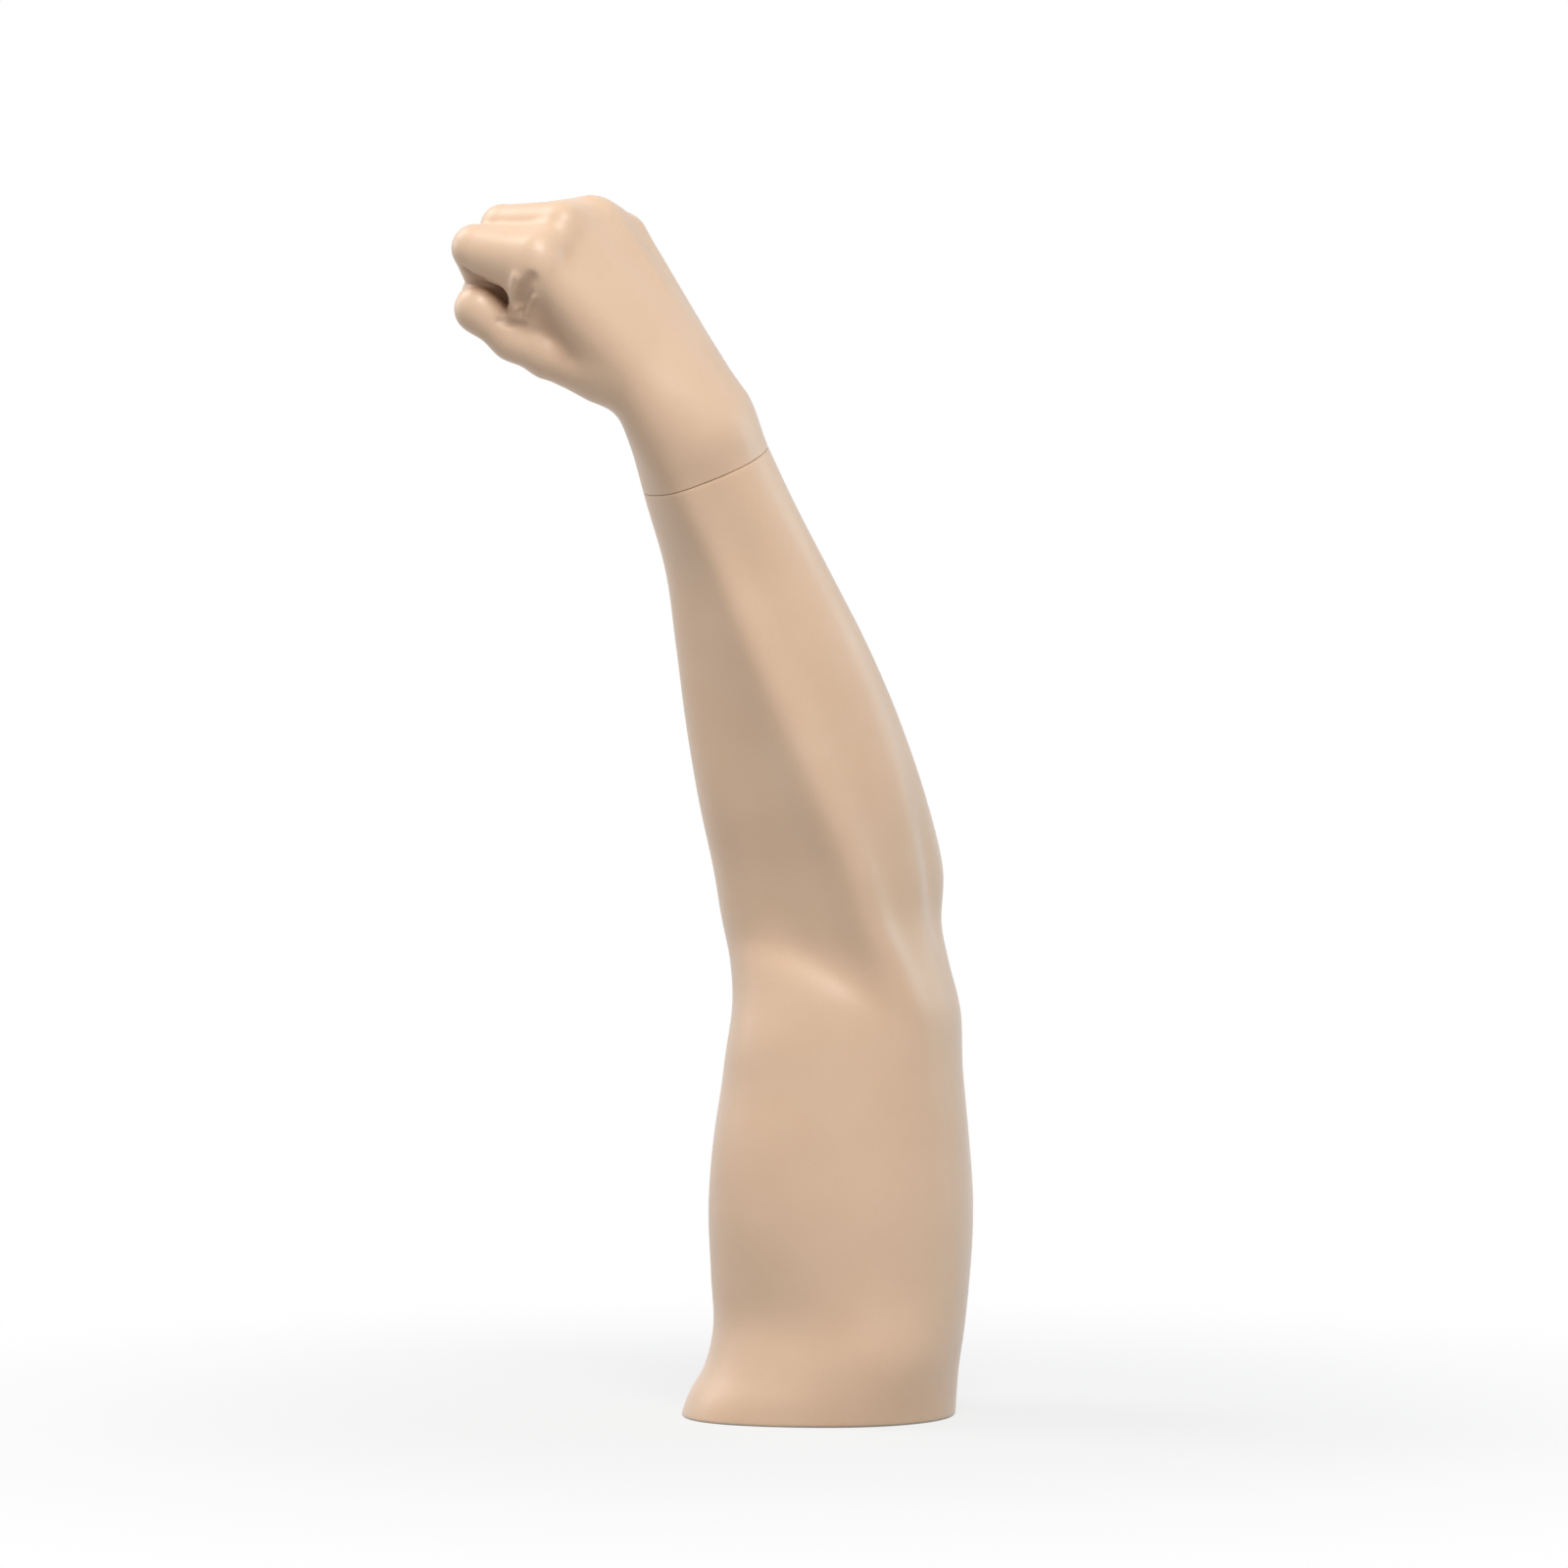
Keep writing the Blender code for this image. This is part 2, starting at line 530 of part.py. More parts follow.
# Hand shell with its hollow
block_low = collar_top + RUN_GAP + PLATE_THICK + RUN_GAP
hand_shell = fist("hand_shell")
opening = slice_of_arm("opening", -0.004, block_low + BLOCK_TALL + 0.003, WALL + FIT_GAP)
combine(opening, [ball_hull("hollow", PALM_HOLLOW, 2)], "UNION")
cut(hand_shell, opening)
attach(hand_shell, hand, SEAM, skin)

# Hand block, magnet and socket plate
block = slice_of_arm("hand_block", block_low, block_low + BLOCK_TALL, WALL + 3 * FIT_GAP)
socket = PEG_SIDE + 2 * RUN_GAP
magnet_low = collar_top + PEG_TALL + RUN_GAP
cut(block, cuboid("pocket", socket, socket, block_low - 0.002, magnet_low, wrist_frame),
    turned("bore", [(MAGNET_RADIUS + SCREW_GAP, magnet_low - 0.002),
                    (MAGNET_RADIUS + SCREW_GAP, magnet_low + MAGNET_THICK + SCREW_GAP)], wrist_frame))
magnet_top = magnet_low + MAGNET_THICK
magnet = turned("magnet", [(MAGNET_RADIUS, magnet_low), (MAGNET_RADIUS, magnet_top)], wrist_frame)
plate_low = collar_top + RUN_GAP
plate = cuboid("socket_plate", PLATE_LONG, PLATE_WIDE, plate_low, plate_low + PLATE_THICK, wrist_frame)
plate_top = plate_low + PLATE_THICK
cut(plate, cuboid("hole", socket, socket, plate_low - 0.002, plate_top + 0.002, wrist_frame))
number = 0
for along in (-1, 1):
    for aside in (-1, 1):
        number += 1
        far, wide = PLATE_LONG / 2 - PLATE_SCREW_INSET, PLATE_WIDE / 2 - PLATE_SCREW_INSET
        spot = (along * far, -aside * wide, -plate_low)
        frame = down_frame @ Matrix.Translation(spot)
        size = (SMALL_SCREW_RADIUS, SMALL_SCREW_HEAD, SMALL_SCREW_LONG)
        cut(plate, countersunk("hole", frame, *size, gap=SCREW_GAP))
        cut(block, countersunk("hole", frame, *size, gap=SCREW_GAP))
        attach(countersunk(f"plate_screw_{number}", frame, *size), hand, SEAM, steel)
attach(plate, hand, SEAM, steel)
attach(block, hand, SEAM, wood)
attach(magnet, hand, SEAM, steel)
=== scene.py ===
"""Arm display stand: the painted arm and fist, the boards, the wrist fitting and the screws.

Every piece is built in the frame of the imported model: metres, +Z up, the viewer at -Y.
"""
import json
import math

import bmesh
import bpy
import numpy as np
from bpy.props import FloatProperty, FloatVectorProperty, IntProperty, PointerProperty
from mathutils import Matrix, Vector


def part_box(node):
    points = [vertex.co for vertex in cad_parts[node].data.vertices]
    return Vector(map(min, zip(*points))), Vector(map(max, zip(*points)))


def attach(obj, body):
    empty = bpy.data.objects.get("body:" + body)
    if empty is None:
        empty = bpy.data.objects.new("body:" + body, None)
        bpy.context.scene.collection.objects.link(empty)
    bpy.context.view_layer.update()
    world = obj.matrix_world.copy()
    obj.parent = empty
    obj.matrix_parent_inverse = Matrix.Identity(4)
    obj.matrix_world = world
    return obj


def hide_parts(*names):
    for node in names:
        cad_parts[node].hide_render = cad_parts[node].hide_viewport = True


bl_info = {
    "name": "Arm display stand",
    "version": (1, 0, 0),
    "blender": (4, 5, 0),
    "location": "3D View > Sidebar > Arm stand",
    "description": "Builds a mannequin arm with a lift-off fist around its packed frame",
    "category": "Object",
}

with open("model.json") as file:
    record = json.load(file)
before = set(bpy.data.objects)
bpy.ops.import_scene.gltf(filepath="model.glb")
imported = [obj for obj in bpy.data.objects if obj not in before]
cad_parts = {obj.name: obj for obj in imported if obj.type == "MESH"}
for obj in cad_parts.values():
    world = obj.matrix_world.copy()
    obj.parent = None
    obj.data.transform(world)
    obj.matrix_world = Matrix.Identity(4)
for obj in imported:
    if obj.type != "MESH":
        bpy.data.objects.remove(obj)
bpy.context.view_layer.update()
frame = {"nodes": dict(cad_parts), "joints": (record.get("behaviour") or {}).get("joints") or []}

# Wrist: the middle of the seam, the axis that the hand turns on and the thumb side
TWIST = next(joint for joint in frame["joints"] if joint["name"] == "hand_twist")
SEAM = np.array(TWIST["pos_m"])
AXIS = np.array(TWIST["axis"]) / np.linalg.norm(TWIST["axis"])

# Hand frame at the narrow of the wrist: towards the knuckles, the thumb side and out of the back
HAND_ORIGIN = np.array((-0.0567, -0.0660, 0.4290))
HAND_UP = np.array((-0.54, -0.26, 0.80)) / np.linalg.norm((-0.54, -0.26, 0.80))
HAND_THUMB = np.array((-0.42, -0.74, -0.525))
HAND_THUMB = HAND_THUMB - HAND_UP * (HAND_THUMB @ HAND_UP)
HAND_THUMB = HAND_THUMB / np.linalg.norm(HAND_THUMB)
HAND_BACK = np.cross(HAND_UP, HAND_THUMB)
HAND_AXES = np.stack((HAND_UP, HAND_THUMB, HAND_BACK))

# Arm outline in millimetres: height, then the left, right, front and back edges of the section
STATIONS = np.array((
    (0, -58.5, 59.0, -52, 50), (9, -55.5, 59.5, -52, 50), (20, -49.5, 60.3, -51, 50),
    (35, -45.6, 62.3, -50, 50), (60, -46.0, 64.5, -51, 51), (88, -46.5, 65.5, -52, 51),
    (120, -44.0, 64.0, -51, 50), (150, -39.6, 62.0, -49, 49), (176, -36.2, 61.0, -47, 47),
    (195, -38.0, 56.0, -46, 43), (212, -41.8, 51.5, -48, 39), (235, -45.5, 50.5, -53, 35),
    (262, -51.0, 46.5, -60, 27), (295, -56.5, 36.0, -66, 16), (330, -61.0, 21.0, -72, 2),
    (362, -65.5, 4.5, -77, -13), (392, -74.0, -11.0, -86, -25.5), (412, -79.2, -20.5, -92, -33.5),
    (430, -83.7, -28.9, -97, -38.5), (450, -89.6, -37.9, -102, -44),
)) / 1000
SECTION_POWER = 2.15
# Swellings and hollows: height and half length in mm, angle, drift of it per 100 mm, rise in mm,
# half spread; angles in degrees from the right edge (0) over the front (90) to the left edge (180)
MUSCLES = (
    (300, 85, 94, 24, 5.5, 16),      # forearm ridge
    (215, 48, 70, 26, 5.5, 13),      # its lower end, which crosses the elbow
    (290, 80, 136, 18, -4.5, 24),    # flat inner forearm
    (232, 26, -14, 0, 4.0, 22),      # extensor bulge
    (238, 34, 20, 8, -2.5, 10),      # groove beside it
    (112, 52, 140, 0, 4.0, 32),      # biceps
    (166, 20, 138, 0, 3.4, 34),      # biceps end
    (90, 55, 318, 0, 5.0, 36),       # triceps
    (28, 20, 66, 0, 6.0, 30),        # shoulder mass
    (0, 14, 150, 0, 2.5, 24),        # flare of the cut end
    (46, 20, 122, 0, -3.0, 28),      # hollow over it
    (182, 16, 322, 0, 5.0, 15),      # elbow point
    (186, 14, 238, 0, 3.0, 15),      # inner elbow knob
    (425, 50, 121, 0, 3.5, 30),      # thumb side of the wrist
    (425, 50, 301, 0, 3.5, 30),      # little finger side of it
    (425, 50, 35, 0, -2.5, 30),      # back of it
    (425, 50, 215, 0, -2.5, 30),     # palm side of it
)
# Fold of the elbow, where the inner forearm steps in above the upper arm: its highest point and the
# angle there, its fall towards the ridge in mm per square degree, depth, softness, length up the
# forearm, and the angle and half spread of its deepest part
ELBOW_FOLD = (200, 150, 0.0043, 6.5, 4.0, 48, 122, 38)
# Heights between which the wrist's seam and its square sections are looked for, metres
WRIST_SPAN = (0.34, 0.45)
# Where the wrist starts to close under the palm in mm, how fast in mm per square mm, and what makes
# its form a fair distance on the leaning arm
WRIST_CLOSE_FROM, WRIST_CLOSE, WRIST_LEAN = 412, 0.012, 0.85

# Fist in the hand frame, millimetres: (up, thumb, back) and the radius there
PALM_BONES = (
    ((-8, 12, 5, 17.0), (84, 23, -3, 11.8)),
    ((-8, 4, 7, 18.3), (87, 4, 1.5, 12.2)),
    ((-8, -5, 5, 17.5), (81, -16, 1.5, 12.2)),
    ((-8, -12, 1, 16.0), (69.6, -30.8, -2.3, 11.2)),
)
# How much thinner the flesh between two of them is: at the wrist and at the knuckles
PALM_WEB = (0.3, 0.8)
FINGERS = (
    ((90, 24, -3, 10.6), (104.4, 20.5, -28.6, 9.8), (84, 20.5, -35, 8.2), (73, 8, -20, 7.4)),
    ((93, 4, 1.5, 10.9), (104, 4, -23.5, 9.3), (82, 3, -34, 8.8), (70, 3, -20, 8.0)),
    ((86, -16, 0.3, 10.4), (94.5, -16, -24.5, 9.2), (77, -13, -34, 8.4), (68, -12, -18, 7.6)),
    ((71.4, -31.2, -3.4, 9.0), (82, -32.5, -25, 8.3), (69, -28, -33, 7.4), (62, -26, -20, 6.8)),
)
# How much thinner the flesh between two fingers is than they are: at the knuckles and at the joints
FINGER_WEBS = ((2.6, 6.0), (1.4, 5.0), (-1.0, 3.0))
INDEX_FLESH = ((86.5, 25.5, -7, 10.2), (98, 22.5, -24, 8.6))
PALM_PADS = (
    ((6, -12, -9, 14.5), (40, -24, -15, 14.5)), ((40, -24, -15, 14.5), (62, -28, -15, 12.0)),
    ((14, 6, -5, 10.0), (46, 13.5, -17, 14.0)), ((30, -6, -10, 14.5), (68, -6, -16, 12.5)),
)
THUMB_BASE = (((16, 11, -4, 7.0), (33, 17.5, -9, 11.6)), ((33, 17.5, -9, 11.8), (53.4, 27.2, -21, 11.6)))
THUMB_WEB = (((46, 19, -8, 8.5), (80, 26, -11, 8.0)), ((80, 26, -11.5, 7.0), (69, 28.5, -24, 7.5)))
THUMB = ((53.4, 27.2, -21, 11.5), (65.7, 30.6, -30.1, 9.0), (83, 30.6, -37, 9.3), (87, 5, -46, 8.6))
# How far the fist's forms run into each other, millimetres
BLEND = {
    "palm bones": 3, "palm pads": 6, "thumb base": 9, "thumb web": 6, "wrist": 12, "finger roots": 3,
    "finger webs": 6, "finger bend": 3, "finger tips": 1.6, "index flesh": 4, "curl": 1, "fingers": 5,
    "thumb limbs": 4, "thumb": 1.5,
}
# Ridges (+) and creases (-) of the fist: rise and half width in mm, how much painted shade darkens the
# paint there in place of the shadow in the creases and the slit, and the path in the hand frame
FIST_FOLDS = (
    (2.0, 1.8, 0.0, ((89, 36, -6.5), (87, 36, -9), (84, 35.5, -13), (80.5, 34.5, -16), (77.5, 35, -16.5))),
    (-2.8, 2.2, 0.7, ((86, 36, -0.5), (84.5, 36.5, -4.5), (82, 36.5, -8.5), (79, 35.5, -12.5))),
    (1.3, 1.6, 0.0, ((78.5, 35.5, -5.5), (76, 35, -10), (73.5, 35, -13.5))),
    (-2.0, 1.2, 0.8, ((81, 36, -5), (78.5, 35.5, -10.5), (75.5, 35, -15))),
    (-1.4, 1.6, 0.5, ((76, 36.5, -26), (73, 35.5, -23.5), (70, 35, -18.5))),
    (-1.6, 0.9, 0.9, ((101, 30, -32), (98.5, 30, -30.5), (96, 30, -29), (94, 30, -26.5))),
    # Painted shade only, no fold: darkens the slit between the index finger and the thumb, where its shadow
    # falls
    (0.0, 5.0, 0.8, ((92, 29, -30), (88, 27.5, -28), (82.5, 23.5, -26))),
    (-1.3, 5.5, 0.3, ((73, 33, -8), (62.5, 32, -10), (49.5, 32.5, -9.5))),
    (-0.8, 6.0, 0.2, ((83.5, 20, 9.5), (84, 20, 9.5))),
    (-0.5, 5.0, 0.1, ((91, 5, 14), (91.5, 5, 14))),
    (1.2, 8.0, 0.0, ((97, 22.5, 5.5), (97, 22, 6))),
    (1.0, 7.0, 0.0, ((97.5, 8, 11), (97.5, 7.5, 11))),
    (0.35, 2.2, 0.0, ((85, -14, 13), (69.5, -15.5, 15), (49, -13, 17))),
    (0.35, 2.2, 0.0, ((80.5, -18.5, 13.5), (65, -23, 12.5), (43, -19.5, 15))),
)
# Width of the painted shade beside a fold, to the fold's own width
PAINTED_SHADE_WIDTH = 1.2

# Heights of the wrist fitting along the wrist axis, from the seam
FLANGE_LOW, FLANGE_TOP = -0.0037, -0.0007
COLLAR_LOW, COLLAR_TOP = -0.0004, 0.0021
PLATE_LOW, PLATE_TOP = 0.0024, 0.0049
BUSH_LOW = -0.0200
WASHER_LOW, WASHER_TOP = -0.0219, -0.0203
NUT_LOW, NUT_TOP = -0.0302, -0.0222
SHAFT_LOW = -0.0322

# Small sizes of the moulded skins: step of the first ring inside a wall, how far rubbed paint reaches
# from the seam, and how worn the rim, its rounding and the seam are, 0 to 1
INNER_STEP = 0.0004
INNER_ROWS = 60
SEAM_WEAR_REACH = 0.0004
RIM_WEAR, ROUND_WEAR, ROUND_WEAR_FADE, SEAM_WEAR = 0.9, 0.85, 0.25, 0.3

# Small sizes of the fittings: softened edges, the gap around the shaft and the peg, and how far a
# cutter reaches past a face
EASE = 0.0004
RUN_GAP = 0.0003
CUT_PAST = 0.002
SHAFT_CHAMFER = 0.0008
PEG_CORNER, PEG_EDGE, PEG_SINK = 0.0012, 0.0003, 0.0005
CROWN_INSET, CROWN_RISE, CROWN_TALL, CROWN_EDGE = 0.0003, 0.0008, 0.0020, 0.0010
WASHER_RADIUS, WASHER_EASE = 0.0095, 0.0002
NUT_FLATS, NUT_CHAMFER, NUT_CHAMFER_TALL = 0.016, 0.0011, 0.0006
PLATE_CORNER, PLATE_EDGE, PLATE_HOLE_CORNER = 0.0020, 0.0003, 0.0008
BOARD_EASE = 0.0006
BOARD_COLUMNS = 160
# Edges of cut and joined pieces that turn by more degrees than this stay sharp
CUT_SHARP = 35
# Least and most roughness of the metals
ZINC_ROUGH, BRASS_ROUGH, SCREW_ROUGH = (0.28, 0.42), (0.22, 0.36), (0.30, 0.46)

# Screws: radii of the head and the shank, pitch of the thread
WOOD_SCREW = (0.0040, 0.0020, 0.0016)
SMALL_SCREW = (0.0027, 0.0013, 0.0010)
HEAD_RIM = 0.0005
HEAD_SIDES = 40
# Holes for them: radii of the hole and of its sink, depth
WOOD_HOLE = (0.0022, 0.0043, 0.014)
SMALL_HOLE = (0.0015, 0.0030, 0.006)
SINK_RIM = 0.0008
# Where they sit: radius of the bush's screw circle, its turn in degrees, inset from the plate's edges
BUSH_SCREW_CIRCLE, BUSH_SCREW_TURN = 0.0124, 17
PLATE_SCREW_INSET = 0.0038
BOARD_SCREWS = [f"base_screw_{n}" for n in range(1, 5)] + [f"ballast_screw_{n}" for n in range(1, 4)]

# Stage: size and aim of the lamps, half the floor's side, and the share of plain white that the floor
# shows: the least of it near the stand, all of it far off
LAMP_SIZE = 0.9
LAMP_AIM = (0, 0, 0.3)
FLOOR_HALF = 6
WHITE_NEAR, WHITE_FAR, WHITE_LEAST = 0.10, 0.55, 0.75


class ArmSizes(bpy.types.PropertyGroup):
    """Sizes of the moulded arm"""
    wall: FloatProperty(name="Wall", description="Thickness of the moulded wall", default=0.0035,
                        min=0.001, unit="LENGTH")
    rim_round: FloatProperty(name="Rim round", description="Rounding of the cut end's outer edge",
                             default=0.0014, unit="LENGTH")
    seam_round: FloatProperty(name="Seam round", description="Rounding of the edge at the wrist seam",
                              default=0.0003, unit="LENGTH")
    columns: IntProperty(name="Columns", description="Points around the arm", default=200, min=24)
    rows: IntProperty(name="Rows", description="Rings up the arm", default=230, min=24)


class FistSizes(bpy.types.PropertyGroup):
    """Sizes of the moulded fist"""
    cell: FloatProperty(name="Cell", description="Mesh size of the fist's skin", default=0.0010,
                        min=0.0004, precision=4, unit="LENGTH")
    seam_gap: FloatProperty(name="Seam gap", description="Gap between the hand and the arm",
                            default=0.0002, precision=4, unit="LENGTH")
    socket_depth: FloatProperty(name="Socket depth", description="Depth of the opening in the wrist",
                                default=0.0285, unit="LENGTH")


class FittingSizes(bpy.types.PropertyGroup):
    """Sizes of the wrist fitting, the board and the screws"""
    fit_gap: FloatProperty(name="Fit gap", description="Gap between a board and the wall",
                           default=0.0004, precision=4, unit="LENGTH")
    board_thick: FloatProperty(name="Board", description="Thickness of the closing board",
                               default=0.012, unit="LENGTH")
    flange_radius: FloatProperty(name="Flange", description="Radius of the bush's flange",
                                 default=0.0165, unit="LENGTH")
    barrel_radius: FloatProperty(name="Barrel", description="Radius of the bush's barrel",
                                 default=0.0080, unit="LENGTH")
    shaft_radius: FloatProperty(name="Shaft", description="Radius of the spigot's shaft",
                                default=0.0050, unit="LENGTH")
    collar_radius: FloatProperty(name="Collar", description="Radius of the spigot's collar",
                                 default=0.0085, unit="LENGTH")
    peg_side: FloatProperty(name="Peg side", description="Side of the square peg",
                            default=0.0140, unit="LENGTH")
    peg_tall: FloatProperty(name="Peg height", description="Height of the square peg",
                            default=0.0130, unit="LENGTH")
    plate_long: FloatProperty(name="Plate length", description="Length of the socket plate",
                              default=0.033, unit="LENGTH")
    plate_wide: FloatProperty(name="Plate width", description="Width of the socket plate",
                              default=0.024, unit="LENGTH")
    wood_screw: FloatProperty(name="Wood screw", description="Length of the board's screws",
                              default=0.026, unit="LENGTH")
    small_screw: FloatProperty(name="Small screw", description="Length of the wrist's screws",
                               default=0.009, unit="LENGTH")


class Finishes(bpy.types.PropertyGroup):
    """Colours of the finishes"""
    skin: FloatVectorProperty(name="Skin paint", description="Colour of the satin paint",
                              subtype="COLOR", default=(0.727, 0.514, 0.356))
    skin_shade: FloatVectorProperty(name="Skin patches", description="Colour of its deeper patches",
                                    subtype="COLOR", default=(0.687, 0.472, 0.318))
    # Painted shade: dark brown laid into the fist's creases and the slit, where their shadow falls
    crease_shade_colour: FloatVectorProperty(name="Creases", description="Colour sprayed into the creases",
                                subtype="COLOR", default=(0.33, 0.185, 0.11))
    laminate: FloatVectorProperty(name="Laminate", description="Bare moulding where paint is rubbed off",
                                  subtype="COLOR", default=(0.52, 0.46, 0.36))
    birch: FloatVectorProperty(name="Birch", description="Pale wood of the plywood",
                               subtype="COLOR", default=(0.62, 0.44, 0.27))
    birch_dark: FloatVectorProperty(name="Birch grain", description="Darker grain of the plywood",
                                    subtype="COLOR", default=(0.42, 0.26, 0.14))
    brass: FloatVectorProperty(name="Brass", description="Colour of the bush",
                               subtype="COLOR", default=(0.70, 0.50, 0.20))
    zinc: FloatVectorProperty(name="Zinc", description="Colour of the plated steel",
                              subtype="COLOR", default=(0.58, 0.59, 0.61))
    iron: FloatVectorProperty(name="Iron", description="Colour of the ballast",
                              subtype="COLOR", default=(0.055, 0.055, 0.06))


class StageValues(bpy.types.PropertyGroup):
    """Light, floor and camera"""
    front_power: FloatProperty(name="Front lamp", description="Power of the soft lamp above the front",
                               default=25.0, unit="POWER")
    right_power: FloatProperty(name="Right lamp", default=6.2, unit="POWER",
                               description="Power of the soft lamp behind the right side")
    right_tint: FloatVectorProperty(name="Right lamp's tint", subtype="COLOR", default=(0.62, 0.84, 1.0),
                                    description="Cool light behind the right side")
    left_power: FloatProperty(name="Left lamp", description="Power of the soft lamp above the left side",
                              default=12.0, unit="POWER")
    low_power: FloatProperty(name="Low lamp", description="Power of the low soft lamp behind the left side",
                             default=4.8, unit="POWER")
    surround: FloatProperty(name="Surround", description="Level of the pale room on the object",
                            default=0.22)
    floor: FloatVectorProperty(name="Floor", description="Colour of the floor", subtype="COLOR",
                               default=(0.55, 0.55, 0.55))
    lens: FloatProperty(name="Lens", description="Focal length of the camera in millimetres",
                        default=119.68)
    camera: FloatVectorProperty(name="Camera", description="Place of the camera",
                                subtype="TRANSLATION", unit="LENGTH",
                                default=(-0.0148, -2.25, 0.2716))


class ArmStand(bpy.types.PropertyGroup):
    """All settings of the arm stand"""
    arm: PointerProperty(type=ArmSizes)
    fist: PointerProperty(type=FistSizes)
    fitting: PointerProperty(type=FittingSizes)
    finish: PointerProperty(type=Finishes)
    stage: PointerProperty(type=StageValues)


# Shapes of the arm
def along_stations(column, height):
    """Smooth curve through one column of the stations."""
    knots, values = STATIONS[:, 0], STATIONS[:, column]
    span = np.diff(knots)
    slope = np.diff(values) / span
    lean = np.empty_like(values)
    lean[1:-1] = (slope[:-1] * span[1:] + slope[1:] * span[:-1]) / (span[:-1] + span[1:])
    lean[0], lean[-1] = slope[0], slope[-1]
    at = np.clip(np.searchsorted(knots, height) - 1, 0, len(knots) - 2)
    t = (height - knots[at]) / span[at]
    return ((2 * t**3 - 3 * t**2 + 1) * values[at] + (t**3 - 2 * t**2 + t) * span[at] * lean[at]
            + (3 * t**2 - 2 * t**3) * values[at + 1] + (t**3 - t**2) * span[at] * lean[at + 1])


def section_edges(height):
    """Left, right, front and back edges of the arm's section."""
    return (along_stations(column, height) for column in (1, 2, 3, 4))


def arm_section(angle, height):
    """Middle and reach of the arm's section; the angle is in radians."""
    left, right, front, back = section_edges(height)
    reach = ((np.abs(np.cos(angle)) / ((right - left) / 2)) ** SECTION_POWER
             + (np.abs(np.sin(angle)) / ((back - front) / 2)) ** SECTION_POWER) ** (-1 / SECTION_POWER)
    for middle, half, at, drift, rise, spread in MUSCLES:
        rising = height * 1000 - middle
        off = (np.degrees(angle) - at - drift * rising / 100 + 180) % 360 - 180
        reach = reach + rise / 1000 * np.exp(-(rising / half) ** 2 - (off / spread) ** 2)
    top, top_angle, fall, depth, softness, length, deepest, spread = ELBOW_FOLD
    turn = np.degrees(angle) % 360
    above = height * 1000 - top + fall * np.maximum(top_angle - turn, 0) ** 2
    step = depth / (1 + np.exp(-np.clip(above / softness, -30, 30)))
    step = step * np.exp(-(np.maximum(above, 0) / length) ** 2)
    reach = reach - step / 1000 * np.exp(-((turn - deepest) / spread) ** 2)
    return (left + right) / 2, (front + back) / 2, reach


def arm_points(angle, height, inset=0.0):
    """Points of the arm's skin, moved in by the inset."""
    across, deep, reach = arm_section(angle, height)
    reach = reach - inset
    return np.stack((across + reach * np.cos(angle), deep - reach * np.sin(angle),
                     np.broadcast_to(height, np.shape(reach))), -1)


def height_at_rise(angle, rise, inset=0.0):
    """Heights where the skin lies that far along the wrist axis from the seam."""
    low, high = (np.full_like(angle, end) for end in WRIST_SPAN)
    for _ in range(40):
        middle = (low + high) / 2
        above = (arm_points(angle, middle, inset) - SEAM) @ AXIS > rise
        low, high = np.where(above, low, middle), np.where(above, middle, high)
    return (low + high) / 2


def wrist_ring(angle, rise, inset):
    """Ring of the arm's section on a plane square to the wrist axis."""
    return arm_points(angle, height_at_rise(angle, rise, inset), inset)


# Shapes of the fist
def limb(points, start, end):
    """Distance to a rounded limb between two balls of the hand frame, millimetres."""
    first, last = np.array(start[:3]), np.array(end[:3])
    along = last - first
    t = np.clip((points - first) @ along / (along @ along), 0, 1)
    apart = points - first - t[:, None] * along
    return np.sqrt((apart * apart).sum(-1)) - (start[3] + t * (end[3] - start[3]))


def merge(first, second, blend):
    """Union of two forms with a rounded joint."""
    if first is None:
        return second
    near = np.maximum(blend - np.abs(first - second), 0) / blend
    return np.minimum(first, second) - near * near * blend / 4


def wrist_form(world):
    """Distance to the wrist, which closes under the palm, millimetres."""
    height = np.clip(world[:, 2], *WRIST_SPAN)
    left, right, front, back = section_edges(height)
    across, deep = world[:, 0] - (left + right) / 2, world[:, 1] - (front + back) / 2
    _, _, reach = arm_section(np.arctan2(-deep, across), height)
    over = np.maximum(world[:, 2] * 1000 - WRIST_CLOSE_FROM, 0)
    return ((np.hypot(across, deep) - reach) * 1000 + WRIST_CLOSE * over**2) * WRIST_LEAN


def path_distance(points, path):
    """Distance to a path of straight pieces."""
    least = None
    for start, end in zip(path, path[1:]):
        part = limb(points, (*start, 0), (*end, 0))
        least = part if least is None else np.minimum(least, part)
    return least


def in_hand(world):
    """Points of the model's frame in the hand frame, millimetres."""
    return (world - HAND_ORIGIN) @ HAND_AXES.T * 1000


